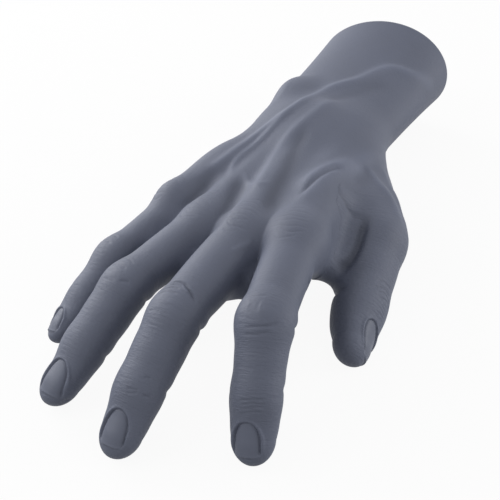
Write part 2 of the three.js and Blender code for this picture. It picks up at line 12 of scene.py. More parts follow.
import bpy
import numpy as np
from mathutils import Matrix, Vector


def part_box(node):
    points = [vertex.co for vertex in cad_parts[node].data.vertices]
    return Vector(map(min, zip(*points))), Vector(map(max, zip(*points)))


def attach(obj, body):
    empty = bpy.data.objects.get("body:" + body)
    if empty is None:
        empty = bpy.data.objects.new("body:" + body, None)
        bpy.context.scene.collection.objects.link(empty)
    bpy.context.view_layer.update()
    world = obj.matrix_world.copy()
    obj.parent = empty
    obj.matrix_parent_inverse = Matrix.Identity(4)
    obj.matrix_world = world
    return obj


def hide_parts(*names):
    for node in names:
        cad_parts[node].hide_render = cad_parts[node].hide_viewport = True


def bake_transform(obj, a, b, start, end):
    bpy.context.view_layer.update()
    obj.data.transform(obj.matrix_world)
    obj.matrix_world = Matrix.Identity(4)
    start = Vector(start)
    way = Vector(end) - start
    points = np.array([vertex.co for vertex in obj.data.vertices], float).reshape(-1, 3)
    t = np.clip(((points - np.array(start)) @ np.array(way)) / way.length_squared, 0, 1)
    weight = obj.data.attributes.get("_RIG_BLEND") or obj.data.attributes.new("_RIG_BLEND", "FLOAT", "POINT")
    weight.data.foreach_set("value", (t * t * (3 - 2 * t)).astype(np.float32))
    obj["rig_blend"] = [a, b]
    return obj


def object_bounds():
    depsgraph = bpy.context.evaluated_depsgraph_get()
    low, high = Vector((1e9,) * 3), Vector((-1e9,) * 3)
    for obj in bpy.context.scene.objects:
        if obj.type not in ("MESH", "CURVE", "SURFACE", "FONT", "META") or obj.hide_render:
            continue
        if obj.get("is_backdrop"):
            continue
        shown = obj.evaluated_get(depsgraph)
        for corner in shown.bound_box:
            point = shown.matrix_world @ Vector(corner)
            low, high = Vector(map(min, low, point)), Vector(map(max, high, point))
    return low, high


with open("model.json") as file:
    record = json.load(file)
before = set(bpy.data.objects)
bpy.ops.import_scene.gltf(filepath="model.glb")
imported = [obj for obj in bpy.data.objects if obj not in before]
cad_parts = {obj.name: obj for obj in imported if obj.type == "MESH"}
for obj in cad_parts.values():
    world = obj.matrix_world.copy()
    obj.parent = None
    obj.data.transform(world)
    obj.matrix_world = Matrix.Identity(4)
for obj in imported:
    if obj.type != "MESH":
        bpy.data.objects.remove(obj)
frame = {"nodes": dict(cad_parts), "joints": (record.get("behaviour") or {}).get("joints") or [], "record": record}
cad_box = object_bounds()
MM = 0.001
joints = {joint["name"]: joint for joint in frame["joints"]}
print("CAD box in mm:", [[round(x / MM, 1) for x in corner] for corner in cad_box])

# %% [markdown]
# ## The camera
#
# The hand is seen from above the fingertips, a little from the thumb's side, with a long lens. The
# viewpoint could be set by eye. Here it is set by an angle round the hand, a height angle and a
# distance, because those three numbers say how the picture was taken.

# %% Camera
VIEW_SIDE = 26.89
VIEW_HEIGHT = 40.6
VIEW_ROLL = -0.41
VIEW_DISTANCE = 388.9
VIEW_TARGET = (3.57, -39.29, 29.4)
LENS = 70.24
SENSOR = 36
CLIP_START = 0.01


def unit(vector):
    """The vector divided by its length."""
    return vector / np.linalg.norm(vector)


def camera_axes(side, height, roll):
    """Right, up and back of a camera on a sphere: back comes from the two angles, right is level,
    up is their cross product, and the roll then turns right and up about back."""
    a, e, r = np.radians([side, height, roll])
    back = np.array([np.sin(a) * np.cos(e), -np.cos(a) * np.cos(e), np.sin(e)])
    right = np.array([np.cos(a), np.sin(a), 0])
    up = np.cross(back, right)
    return np.cos(r) * right + np.sin(r) * up, np.cos(r) * up - np.sin(r) * right, back


def stand_at(item, right, up, back, place):
    """Puts an object in the scene, at a place in metres, with its axes along right, up and back."""
    matrix = np.eye(4)
    matrix[:3] = np.stack([right, up, back, place], axis=1)
    item.matrix_world = matrix.T.tolist()
    bpy.context.scene.collection.objects.link(item)


camera_data = bpy.data.cameras.new("camera")
camera_data.lens = LENS
camera_data.sensor_width = SENSOR
camera_data.clip_start = CLIP_START
camera = bpy.data.objects.new("camera", camera_data)
right, up, back = camera_axes(VIEW_SIDE, VIEW_HEIGHT, VIEW_ROLL)
stand = (np.array(VIEW_TARGET) + VIEW_DISTANCE * back) * MM
stand_at(camera, right, up, back, stand)
bpy.context.scene.camera = camera
print("camera at", np.round(stand, 3))

# %% [markdown]
# ## The studio
#
# Product pictures of such hands are taken on white, in a tent of soft light, so the silicone gets
# no hard highlight and its edges catch the white round it. A plain white floor would grey out under
# a low light. So the camera sees part of the floor's white straight from its material, and the rest
# of it is lit, which keeps the soft shadow.

# %% Helpers for node trees
def new_material(name):
    """A material with its node tree emptied, and that tree."""
    material = bpy.data.materials.new(name)
    material.use_nodes = True
    material.node_tree.nodes.clear()
    return material, material.node_tree


def feed(tree, socket, value):
    """Sets a socket to a value, or links it where the value is another socket."""
    if isinstance(value, bpy.types.NodeSocket):
        tree.links.new(value, socket)
    else:
        socket.default_value = value


def add_node(tree, kind, **inputs):
    """A node of a kind, with its named inputs set or linked."""
    node = tree.nodes.new(kind)
    for key, value in inputs.items():
        feed(tree, node.inputs[key.replace("_", " ")], value)
    return node


def add_math(tree, operation, *values):
    """The result of a maths operation on sockets or numbers."""
    node = tree.nodes.new("ShaderNodeMath")
    node.operation = operation
    for socket, value in zip(node.inputs, values):
        feed(tree, socket, value)
    return node.outputs[0]


def end_in_mix(tree, kind, share, first, second):
    """Ends a tree in an output of a kind, with a mix of two shaders: the first where the share is
    nought, the second where it's one."""
    mix = tree.nodes.new("ShaderNodeMixShader")
    for socket, value in zip(mix.inputs, (share, first.outputs[0], second.outputs[0])):
        feed(tree, socket, value)
    add_node(tree, kind, Surface=mix.outputs[0])


def seen_directly(tree):
    """One where the ray comes from the camera, a reflection or glass, and nought for light that
    fills."""
    ray = tree.nodes.new("ShaderNodeLightPath").outputs
    seen = add_math(tree, "MAXIMUM", ray["Is Camera Ray"], ray["Is Glossy Ray"])
    return add_math(tree, "MAXIMUM", seen, ray["Is Transmission Ray"])


# %% Floor, world and lamps
FLOOR_SIZE = 4.0
FLOOR_DROP = 0.0002
FLOOR_GLOW = 0.93
FLOOR_BOUNCE = 0.3
FLOOR_WHITE = 0.9
WORLD_LIGHT = 0.48
WHITE = (1, 1, 1, 1)
LAMP_SIZE = 0.6
LAMPS = {
    "window_left": {"place": (-0.9, 0.29, 0.32), "watts": 6.5},
    "window_right": {"place": (0.87, 0.44, 0.21), "watts": 4.5},
    "window_front": {"place": (-0.7, -0.36, 0.62), "watts": 2.4},
}


def floor_material():
    """White cloth that is part glow and part lit surface for the camera. For other light it is a
    darker lit surface, so the hand gets less light from below."""
    material, tree = new_material("floor_white")
    seen = seen_directly(tree)
    tone = add_node(tree, "ShaderNodeMapRange", Value=seen, To_Min=FLOOR_BOUNCE, To_Max=FLOOR_WHITE)
    lit = add_node(tree, "ShaderNodeBsdfDiffuse", Color=tone.outputs["Result"])
    glow = tree.nodes.new("ShaderNodeEmission")
    end_in_mix(tree, "ShaderNodeOutputMaterial", add_math(tree, "MULTIPLY", seen, FLOOR_GLOW), lit,
               glow)
    return material


half = FLOOR_SIZE / 2
floor_mesh = bpy.data.meshes.new("floor")
corners = [(-half, -half), (half, -half), (half, half), (-half, half)]
floor_mesh.from_pydata([(x, y, -FLOOR_DROP) for x, y in corners], [], [(0, 1, 2, 3)])
floor = bpy.data.objects.new("floor", floor_mesh)
floor.data.materials.append(floor_material())
bpy.context.scene.collection.objects.link(floor)
floor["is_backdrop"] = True

world = bpy.data.worlds.new("white_tent")
bpy.context.scene.world = world
world.use_nodes = True
sky = world.node_tree
sky.nodes.clear()
tent = add_node(sky, "ShaderNodeBackground", Color=WHITE, Strength=WORLD_LIGHT)
white = add_node(sky, "ShaderNodeBackground", Color=WHITE)
end_in_mix(sky, "ShaderNodeOutputWorld", seen_directly(sky), tent, white)

for name, lamp in LAMPS.items():
    data = bpy.data.lights.new(name, "AREA")
    data.energy = lamp["watts"]
    data.size = LAMP_SIZE
    place = np.array(lamp["place"])
    lamp_back = unit(place)
    lamp_right = unit(np.cross((0, 0, 1), lamp_back))
    stand_at(bpy.data.objects.new(name, data), lamp_right, np.cross(lamp_back, lamp_right),
             lamp_back, place)
bpy.context.scene.view_settings.view_transform = "Standard"
print("lamps:", ", ".join(LAMPS))

# %% [markdown]
# ## Bones
#
# The skin has to bend exactly where the armature does, so every measure of it starts from the
# hinges in the frame. Each bone gets three axes: its hinge's own axis across the finger, a second
# one back along the bone, and a third out of the back of the finger. Lengths are in millimetres.

# %% Bone frames
PALM_PITCH = -4.1
PALM_ROLL = -10.0
INDEX_KNUCKLE = (27.7, -90.8, 1.0)
THUMB_ROOT = (25.0, -15.3, -9.7)
FINGERS = ("index", "middle", "ring", "little")
DIGITS = FINGERS + ("thumb",)
# The bend at the fingertip's hinge in degrees, the length of the last bone, how far the tip reaches
# past it, and the digit's half widths at the start, middle and end of each bone.
DIGIT = {
    "index": {"tip_bend": 8.9, "tip_bone": 15.0, "tip_cap": 10.0,
              "widths": (10.6, 10.2, 10.0, 9.7, 8.4, 9.0, 8.2)},
    "middle": {"tip_bend": 6.0, "tip_bone": 16.0, "tip_cap": 9.8,
               "widths": (11.0, 10.9, 9.9, 10.2, 8.8, 8.9, 8.2)},
    "ring": {"tip_bend": 0.7, "tip_bone": 16.1, "tip_cap": 9.8,
             "widths": (10.8, 9.7, 9.4, 9.8, 8.7, 8.6, 8.1)},
    "little": {"tip_bend": -0.5, "tip_bone": 14.4, "tip_cap": 8.9,
               "widths": (10.0, 8.1, 8.1, 8.0, 6.9, 7.8, 6.7)},
    "thumb": {"tip_bend": -5.8, "tip_bone": 18.2, "tip_cap": 9.5,
              "widths": (12.5, 12.3, 12.2, 12.0, 11.2, 11.2, 9.1)},
}


def turn(axis, degrees):
    """The matrix that turns by an angle about an axis: cosine of the plane part, sine of the cross
    product, and the part along the axis unchanged."""
    x, y, z = unit(np.array(axis, float))
    cross = np.array([[0, -z, y], [z, 0, -x], [-y, x, 0]])
    angle = np.radians(degrees)
    return np.eye(3) + np.sin(angle) * cross + (1 - np.cos(angle)) * cross @ cross


def hinge(name, part):
    """Place in millimetres and axis of one hinge of the frame."""
    joint = joints[f"{name}_{part}_hinge"]
    return np.array(joint["pos_m"]) / MM, unit(np.array(joint["axis"]))


palm_turn = turn((1, 0, 0), PALM_PITCH) @ turn((0, 1, 0), PALM_ROLL)
wrist_place = hinge("index", "knuckle")[0] - palm_turn @ np.array(INDEX_KNUCKLE)


def on_palm(place):
    """A place given in the palm's axes, which start at the wrist, in the frame's millimetres."""
    return wrist_place + palm_turn @ np.array(place, float)


def bone_frames(name):
    """One dictionary for each bone: where it starts, its axes as the columns of a matrix, its
    length, and the bend at its start."""
    parts = ("knuckle", "end") if name == "thumb" else ("knuckle", "middle", "end")
    places = [hinge(name, part)[0] for part in parts]
    axis = hinge(name, parts[0])[1]
    if name == "thumb":
        places.insert(0, on_palm(THUMB_ROOT))
    forwards = [unit(b - a) for a, b in zip(places, places[1:])]
    forwards.append(turn(axis, DIGIT[name]["tip_bend"]) @ forwards[-1])
    lengths = [np.linalg.norm(b - a) for a, b in zip(places, places[1:])]
    lengths.append(DIGIT[name]["tip_bone"])
    bends = [0.0]
    for a, b in zip(forwards, forwards[1:]):
        bends.append(np.degrees(np.arctan2(np.cross(a, b) @ axis, a @ b)))
    frames = []
    for place, forward, length, bend in zip(places, forwards, lengths, bends):
        axes = np.stack([axis, -forward, np.cross(axis, -forward)], axis=1)
        frames.append({"place": place, "axes": axes, "length": length, "bend": bend})
    return frames


BONES = {name: bone_frames(name) for name in DIGITS}
for name in DIGITS:
    print(name, "bones", [round(bone["length"], 1) for bone in BONES[name]], "mm, bends",
          [round(bone["bend"], 1) for bone in BONES[name]], "degrees")

# %% [markdown]
# ## A field for the flesh
#
# A hand branches: five fingers leave one palm, with webs between them. A grid bent into a tube
# makes one finger well, and can't branch. So the flesh is a field: a function that is negative
# inside the hand and positive outside. Each bone adds an oval limb to it, the heels of the hand add
# balls and the webs add rods, and a soft minimum melts each form into the next one, the way a
# sculptor adds clay.

# %% Forms of the field
# How high the back and how deep the pad of a digit are, as shares of its half width, at the start,
# middle and end of each bone.
BACK_SHARE = (0.85, 0.9, 0.83, 0.87, 0.82, 0.71, 0.71)
PAD_SHARE = (1.06, 1.05, 0.91, 1.01, 0.86, 1.0, 0.93)
# A form gives this distance far from its line, and is worked out only this far round it.
FAR = 30.0
ROOM = FAR / 2
TINY = 1e-3


def melt(a, b, reach):
    """Soft minimum: the lower of two distances, lowered further by a parabola where they are within
    reach of each other."""
    near = np.maximum(reach - np.abs(a - b), 0) / reach
    return np.minimum(a, b) - near * near * reach / 4


def through(values, share):
    """The parabola through three values at the start, the middle and the end."""
    start, middle, end = values
    return (start * (2 * share - 1) * (share - 1) + middle * 4 * share * (1 - share)
            + end * share * (2 * share - 1))


def from_line(points, a, b):
    """For each point, how far along the line from a to b its nearest place lies, from nought to
    one, and the distance to that place."""
    line = b - a
    share = np.clip(((points - a) @ line) / (line @ line), 0, 1)
    return share, np.linalg.norm(points - a - share[:, None] * line, axis=1)


def only_near(form, a, b, radius):
    """The same form, worked out only round a line, and simply far away elsewhere."""
    def field(points):
        values = np.full(len(points), FAR)
        chosen = from_line(points, a, b)[1] < radius + ROOM
        values[chosen] = form(points[chosen])
        return values
    return field


def limb(place, axes, length, widths, backs, pads, start_cap, end_cap):
    """An oval limb along minus Y of its axes. A point's offset is divided by the half width, the
    height of the back or the depth of the pad at its station, and the length of this scaled offset
    says how far outside the oval the point lies."""
    def form(points):
        x, back, z = ((points - place) @ axes).T
        along = -back
        share = np.clip(along / length, 0, 1)
        wide = x / through(widths, share)
        high = z / np.where(z > 0, through(backs, share), through(pads, share))
        past = np.maximum(along - length, 0)
        before = np.maximum(-along, 0)
        scale = np.sqrt(wide ** 2 + high ** 2 + (past / end_cap + before / start_cap) ** 2)
        offset = np.sqrt(x ** 2 + z ** 2 + (past + before) ** 2)
        return offset * (1 - 1 / np.maximum(scale, TINY))
    end = place - axes[:, 1] * length
    return only_near(form, place, end, max(*widths, *backs, *pads, start_cap, end_cap))


def ball(place, axes, radii):
    """An egg: the offset divided by three radii, taken back to a distance."""
    def form(points):
        local = (points - place) @ axes
        scale = np.sqrt(((local / radii) ** 2).sum(1))
        return np.sqrt((local ** 2).sum(1)) * (1 - 1 / np.maximum(scale, TINY))
    return only_near(form, place, place + axes[:, 1], max(radii))


def rod(a, b, start_radius, end_radius):
    """A round rod whose radius changes evenly from one end to the other."""
    def form(points):
        share, offset = from_line(points, a, b)
        return offset - (start_radius + (end_radius - start_radius) * share)
    return only_near(form, a, b, max(start_radius, end_radius))


def joined(forms, reach):
    """Several forms melted into one another."""
    def field(points):
        total = forms[0](points)
        for form in forms[1:]:
            total = melt(total, form(points), reach)
        return total
    return field


# %% Fingers, palm, heels, webs and forearm
FILLET = {"bone": 5, "finger": 6, "thumb": 8, "web": 5, "first_web": 8, "first_web_rods": 6,
          "palm": 7, "heel": 12, "wrist": 14, "ulna": 6}
# Where each ray of the palm starts in the palm's axes, and its half widths, the heights of its back
# and the depths of its pad at its start, middle and end.
PALM_RAYS = {
    "index": {"start": (14, -7, -1), "widths": (13.5, 10.8, 12.4),
              "backs": (11.5, 10.5, 9.8), "pads": (14.2, 14.5, 16.5)},
    "middle": {"start": (3, -10, 2), "widths": (10, 10.5, 11.2),
               "backs": (12, 11, 10.2), "pads": (14, 14.5, 16)},
    "ring": {"start": (-6.2, -10, 0.7), "widths": (9.5, 10, 10.8),
             "backs": (11.5, 10.5, 9.6), "pads": (14, 14.5, 15.5)},
    "little": {"start": (-13.8, -9.8, -3), "widths": (8.6, 11.2, 9.2),
               "backs": (9.4, 11.6, 12.2), "pads": (13, 13.5, 14)},
}
# The two pads at the heel of the hand, and then the rods of the thumb's web and of the fingers'
# webs. A finger's web lies so far along the first bones of both fingers, and so high over them.
HEELS = (
    {"place": (18.7, -36.5, -13), "turn": 18, "radii": (13.5, 27, 12)},
    {"place": (-27.7, -41.4, -7), "turn": -10, "radii": (12.7, 30, 15.7)},
)
FIRST_WEB = (
    {"ends": ((38.5, -42.5, -12), (24, -60, -3)), "radii": (10, 10)},
    {"ends": ((39.9, -55.4, -20.0), (25.9, -72.2, -9.5)), "radii": (8.5, 9.0)},
    {"ends": ((41.2, -68.3, -25.1), (27.7, -84.3, -12.3)), "radii": (7.7, 7.3)},
)
FINGER_WEBS = (
    {"between": ("index", "middle"), "along": 20.6, "height": -9, "radius": 5.6},
    {"between": ("middle", "ring"), "along": 21, "height": -7, "radius": 5.5},
    {"between": ("ring", "little"), "along": 19, "height": -6, "radius": 5.5},
)
WEB_PAD = {"along": 0, "height": -6.5, "radius": 7.5}
FOREARM = {"splay": -2.6, "rise": 1.1, "roll": 10.2, "length": 73.3, "spare": 15, "wrist_lap": 5,
           "widths": (34.2, 31.5, 29.2), "backs": (27.7, 18.4, 17.1), "pads": (26.5, 20.6, 22.5)}
ULNA_HEAD = {"place": (-18.4, 10.3, 6.2), "radii": (10.2, 15.6, 10.5)}
arm_turn = (palm_turn @ turn((0, 0, 1), FOREARM["splay"]) @ turn((1, 0, 0), FOREARM["rise"])
            @ turn((0, 1, 0), FOREARM["roll"]))
# How the cut is slanted against the forearm, in degrees.
CUT_PITCH = -10.5
CUT_YAW = 6.5
cut_turn = arm_turn @ turn((1, 0, 0), CUT_PITCH) @ turn((0, 0, 1), CUT_YAW)
wrist_face = frame["record"]["mounts"][0]
cut_place = np.array(wrist_face["pos_m"]) / MM


def digit_flesh(name):
    """The limbs of one digit, melted at its hinges. Widths come in threes that share their ends."""
    widths = DIGIT[name]["widths"]
    limbs = []
    for index, bone in enumerate(BONES[name]):
        span = slice(2 * index, 2 * index + 3)
        wide = np.array(widths[span])
        last = index == len(BONES[name]) - 1
        limbs.append(limb(bone["place"], bone["axes"], bone["length"], wide,
                          wide * BACK_SHARE[span], wide * PAD_SHARE[span], wide[0],
                          DIGIT[name]["tip_cap"] if last else wide[2]))
    return joined(limbs, FILLET["bone"])


def palm_ray(name):
    """The limb over one bone of the palm, from the wrist to the finger's knuckle."""
    ray = PALM_RAYS[name]
    start = on_palm(ray["start"])
    end = BONES[name][0]["place"]
    back = unit(start - end)
    side = palm_turn[:, 0]
    side = unit(side - (side @ back) * back)
    axes = np.stack([side, back, np.cross(side, back)], axis=1)
    return limb(start, axes, np.linalg.norm(end - start), ray["widths"], ray["backs"], ray["pads"],
                ray["widths"][0], ray["widths"][2])


def on_bone(name, index, along, height=0.0):
    """A place on a bone: so far along it, and so far out of its back."""
    bone = BONES[name][index]
    return bone["place"] + bone["axes"] @ np.array([0, -along, height])


palm_form = joined([palm_ray(name) for name in FINGERS], FILLET["palm"])
heel_forms = [ball(on_palm(heel["place"]), palm_turn @ turn((0, 0, 1), heel["turn"]), heel["radii"])
              for heel in HEELS]
first_web_form = joined([rod(on_palm(web["ends"][0]), on_palm(web["ends"][1]), *web["radii"])
                         for web in FIRST_WEB], FILLET["first_web_rods"])


def finger_web(between, along, height, radius):
    """The rod from one finger to the next, and the pad that runs back from its middle between the
    knuckles."""
    a, b = (on_bone(name, 0, along, height) for name in between)
    root = sum(on_bone(name, 0, WEB_PAD["along"], WEB_PAD["height"]) for name in between) / 2
    return [rod(a, b, radius, radius), rod(root, (a + b) / 2, WEB_PAD["radius"], radius)]


finger_web_forms = [form for web in FINGER_WEBS for form in finger_web(**web)]
arm_long = FOREARM["length"] + FOREARM["spare"]
forearm_form = limb(wrist_place + arm_turn @ np.array([0, arm_long, 0]), arm_turn,
                    arm_long + FOREARM["wrist_lap"], FOREARM["widths"], FOREARM["backs"],
                    FOREARM["pads"], FOREARM["widths"][0], FOREARM["widths"][2])
ulna_place = wrist_place + arm_turn @ np.array(ULNA_HEAD["place"])
ulna_form = ball(ulna_place, arm_turn, ULNA_HEAD["radii"])
digit_forms = {name: digit_flesh(name) for name in DIGITS}


def flesh(points):
    """The whole hand: palm, heels, forearm, webs, thumb and fingers, each melted into the last."""
    total = palm_form(points)
    for form in heel_forms:
        total = melt(total, form(points), FILLET["heel"])
    arm = melt(forearm_form(points), ulna_form(points), FILLET["ulna"])
    total = melt(total, arm, FILLET["wrist"])
    total = melt(total, first_web_form(points), FILLET["first_web"])
    webs = np.minimum.reduce([form(points) for form in finger_web_forms])
    total = melt(total, webs, FILLET["web"])
    total = melt(total, digit_forms["thumb"](points), FILLET["thumb"])
    fingers = np.minimum.reduce([digit_forms[name](points) for name in FINGERS])
    return melt(total, fingers, FILLET["finger"])


# %% [markdown]
# ## From the field to a mesh
#
# The field becomes a mesh by surface nets. A lattice of small cells is laid over the hand, every
# cell that the surface passes through gets one point, and cells that share a crossed edge are
# joined by a four-sided face. Marching cubes would do as well, but makes thin triangles, and
# four-sided faces take fine relief better. The lattice is square to the slanted cut of the forearm,
# and its last layers repeat one another, so the skin ends in one clean loop there.

# %% Field on a lattice
CELL = 0.7
COARSE = 2.8
COARSE_SAFETY = 1.3
MARGIN = 3.0
CHUNK = 300000
RIM_RADIUS = 0.8
RIM_LAYERS = 3


def in_chunks(points):
    """The field of many points, a few hundred thousand at a time."""
    parts = [flesh(points[start:start + CHUNK]) for start in range(0, len(points), CHUNK)]
    return np.concatenate(parts)


def from_cut(local):
    """Places given in the axes of the forearm's cut, in the frame's millimetres."""
    return cut_place + local @ cut_turn.T


def to_cut(points):
    """Places of the frame in the axes of the forearm's cut, where Y is square to the cut."""
    return (points - cut_place) @ cut_turn


def field_on_lattice(low, high):
    """The field on a fine lattice. A coarse lattice finds where the surface may pass, and only
    there is the fine one worked out; elsewhere the coarse value gives the sign."""
    counts = np.round((high - low) / CELL).astype(int) + 1
    ratio = int(round(COARSE / CELL))
    coarse_counts = (counts + ratio - 1) // ratio + 1
    lines = [low[k] + CELL * ratio * np.arange(coarse_counts[k]) for k in range(3)]
    grid = np.stack(np.meshgrid(*lines, indexing="ij"), -1).reshape(-1, 3)
    coarse = in_chunks(from_cut(grid)).reshape(coarse_counts)
    pick = [np.minimum((np.arange(counts[k]) + ratio // 2) // ratio, coarse_counts[k] - 1)
            for k in range(3)]
    values = coarse[np.ix_(*pick)]
    close = np.abs(values) < COARSE * COARSE_SAFETY
    values[close] = in_chunks(from_cut(low + np.argwhere(close) * CELL))
    return values


boxes = np.array([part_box(node) for node in frame["nodes"]]) / MM
ends = np.stack([boxes[:, 0].min(0), boxes[:, 1].max(0)])
corners = to_cut(np.stack(np.meshgrid(*ends.T, indexing="ij"), -1).reshape(-1, 3))
low = corners.min(0) - MARGIN
high = corners.max(0) + MARGIN
high[1] = CELL / 2 - RIM_RADIUS
high[[0, 2]] = low[[0, 2]] + np.ceil((high - low)[[0, 2]] / CELL) * CELL
low[1] = high[1] - np.ceil((high - low)[1] / CELL) * CELL
lattice = field_on_lattice(low, high)
lattice[:, -RIM_LAYERS:] = lattice[:, -RIM_LAYERS, None]
print("lattice:", lattice.shape)


# %% Surface nets
def cell_points(values, cells):
    """One point for each crossed cell, in cells from its own corner: the mean of the crossings on
    its twelve edges."""
    total = np.zeros((len(cells), 3))
    count = np.zeros(len(cells))
    for corner in np.ndindex(2, 2, 2):
        for axis in range(3):
            if corner[axis]:
                continue
            other = list(corner)
            other[axis] = 1
            a = values[tuple((cells + corner).T)]
            b = values[tuple((cells + other).T)]
            crossed = (a < 0) != (b < 0)
            place = np.tile(np.array(corner, float), (len(cells), 1))
            place[:, axis] = np.where(crossed, a / np.where(crossed, a - b, 1), 0)
            total += place * crossed[:, None]
            count += crossed
    return total / count[:, None]


def surface_net(values):
    """Crossed cells, their points and the outward four-sided faces of a lattice of values."""
    inside = values < 0
    shape = np.array(values.shape) - 1
    count = sum(inside[i:shape[0] + i, j:shape[1] + j, k:shape[2] + k].astype(np.int8)
                for i, j, k in np.ndindex(2, 2, 2))
    cells = np.argwhere((count > 0) & (count < 8))
    number = np.full(count.shape, -1)
    number[tuple(cells.T)] = np.arange(len(cells))
    faces = []
    for axis in range(3):
        first = np.take(inside, range(shape[axis]), axis)
        second = np.take(inside, range(1, shape[axis] + 1), axis)
        edges = np.argwhere(first != second)
        u, v = (axis + 1) % 3, (axis + 2) % 3
        inner = (edges[:, [u, v]] > 0).all(1) & (edges[:, [u, v]] < shape[[u, v]]).all(1)
        edges = edges[inner]
        step_u, step_v = np.eye(3, dtype=int)[[u, v]]
        ring = [edges - step_u - step_v, edges - step_v, edges, edges - step_u]
        around = np.stack([number[tuple(step.T)] for step in ring], axis=1)
        going_in = ~first[tuple(edges.T)]
        around[going_in] = around[going_in][:, ::-1]
        faces.append(around)
    return cells, cell_points(values, cells), np.concatenate(faces)


cells, offsets, quads = surface_net(lattice)
at_rim = cells[:, 1] == lattice.shape[1] - 2
points = from_cut(low + (cells + offsets) * CELL)
print("net:", len(points), "points,", len(quads), "faces,", at_rim.sum(), "on the rim")

# %% [markdown]
# ## Even out the net
#
# The raw net has small steps, because each point is only a mean of crossings. Each point is moved
# towards the middle of its neighbours, and then back onto the surface along its normal, with one
# step of Newton's method. A few rounds of that give an even mesh that lies on the surface.

# %% Smooth and project
PROBE = 0.1
EASE = 0.5
LEAST_SLOPE = 0.5
LEAST_NORMAL = 1e-9
ROUNDS = 3


def smooth_step(share):
    """Nought to one with level ends: three times the square less twice the cube."""
    share = np.clip(share, 0, 1)
    return share * share * (3 - 2 * share)


def face_edges(quads):
    """The points where the edges of all faces start, and those where they stop."""
    return quads.ravel(), np.roll(quads, -1, axis=1).ravel()


def face_normals(points, quads):
    """Normal of each face, as long as its area: half the cross product of its diagonals."""
    a, b, c, d = (points[quads[:, k]] for k in range(4))
    return np.cross(c - a, d - b) / 2


def point_normals(points, quads):
    """Unit normal of each point: the sum of the normals of its faces, where larger faces weigh
    more."""
    normals = face_normals(points, quads)
    total = np.stack([sum(np.bincount(quads[:, k], normals[:, axis], len(points)) for k in range(4))
                      for axis in range(3)], axis=1)
    return total / np.maximum(np.linalg.norm(total, axis=1), LEAST_NORMAL)[:, None]


def eased(points, quads):
    """Each point moved part of the way to the mean of its neighbours along face edges."""
    starts, stops = face_edges(quads)
    count = np.bincount(starts, minlength=len(points)) + np.bincount(stops, minlength=len(points))
    mean = np.stack([(np.bincount(starts, points[stops, axis], len(points))
                      + np.bincount(stops, points[starts, axis], len(points))) / count
                     for axis in range(3)], axis=1)
    return points + EASE * (mean - points)


def onto_surface(points, normals):
    """One step of Newton's method along the normal: the distance divided by its slope there."""
    here = in_chunks(points)
    slope = (in_chunks(points + PROBE * normals) - here) / PROBE
    return points - normals * (here / np.maximum(slope, LEAST_SLOPE))[:, None]


for _ in range(ROUNDS):
    points = eased(points, quads)
    points = onto_surface(points, point_normals(points, quads))
    local = to_cut(points[at_rim])
    local[:, 1] = -RIM_RADIUS
    points[at_rim] = from_cut(local)
print("left off the surface, mm:", round(float(np.abs(in_chunks(points)).max()), 3))

# %% [markdown]
# ## Seams
#
# Each piece of skin may cross only one hinge, so the net is divided as the armature is: one skin
# for the palm and forearm, and one over each hinge of each digit. A seam runs through a stiff
# stretch, where the skins on both its sides follow the same bone, so it never opens. Between two
# digits it follows the plane halfway between them, through the web. The web of the thumb reaches
# past the seam of its tip, so a strip of the thumb beside that plane stays with the knuckle's skin,
# which stretches with the web.

# %% Seam planes and pieces
KNUCKLE_SEAM = 11.0
SEAM_SPARE = 1.2
# How far the turn of a skin reaches along the bones on both sides of its hinge.
REACH = {
    "middle": {"index": 9.5, "middle": 9.5, "ring": 9.0, "little": 7.5},
    "tip": {"index": 6.5, "middle": 7.0, "ring": 7.0, "little": 5.5, "thumb": 8.0},
}
# Where the seam across a digit's middle bone lies, or across the thumb's lower bone.
MIDDLE_SEAM = {"index": 16.2, "middle": 17.0, "ring": 17.0, "little": 11.6, "thumb": 24.0}
THUMB_WEB_STRIP = 5.0
PALM_PIECE = 0
PARTS = {name: ("knuckle", "middle", "tip") for name in FINGERS}
PARTS["thumb"] = ("knuckle", "tip")


def side_plane(first, second):
    """The plane halfway between two lines that run alongside: it holds the middles of both their
    starts and ends, and faces from the first line to the second."""
    (a, b), (c, d) = first, second
    near, far = (a + c) / 2, (b + d) / 2
    along = unit(far - near)
    across = c - a + d - b
    return near, unit(across - (across @ along) * along)


SIDE_PLANES = {}
for web in FINGER_WEBS:
    one, other = web["between"]
    SIDE_PLANES[one, other] = side_plane(
        (on_bone(one, 0, 0), on_bone(one, 0, web["along"])),
        (on_bone(other, 0, 0), on_bone(other, 0, web["along"])))
SIDE_PLANES["thumb", "index"] = side_plane(
    (on_bone("thumb", 1, 0), on_bone("thumb", 2, 0)),
    ((on_bone("index", 0, 0) + on_palm(PALM_RAYS["index"]["start"])) / 2, on_bone("index", 0, 0)))


def joint_line(name, index):
    """A hinge's place, and the direction halfway between the bones before and after it."""
    before, after = BONES[name][index - 1], BONES[name][index]
    return after["place"], unit(-before["axes"][:, 1] - after["axes"][:, 1])


def height_in_web(first, second, places):
    """Height over the halfway plane plus how much nearer a place is to the second digit's flesh, so
    a curled fingertip that passes the plane still belongs to its finger."""
    spot, across = SIDE_PLANES[first, second]
    return (places - spot) @ across + digit_forms[first](places) - digit_forms[second](places)


def in_digit(name, places):
    """Which places lie beyond a digit's seam with the palm and on its own side of each web."""
    bone = BONES[name][0]
    seam = bone["length"] - KNUCKLE_SEAM if name == "thumb" else -KNUCKLE_SEAM
    inside = (places - bone["place"]) @ -bone["axes"][:, 1] > seam
    for first, second in SIDE_PLANES:
        if name in (first, second):
            side = height_in_web(first, second, places)
            inside &= side < 0 if name == first else side > 0
    return inside


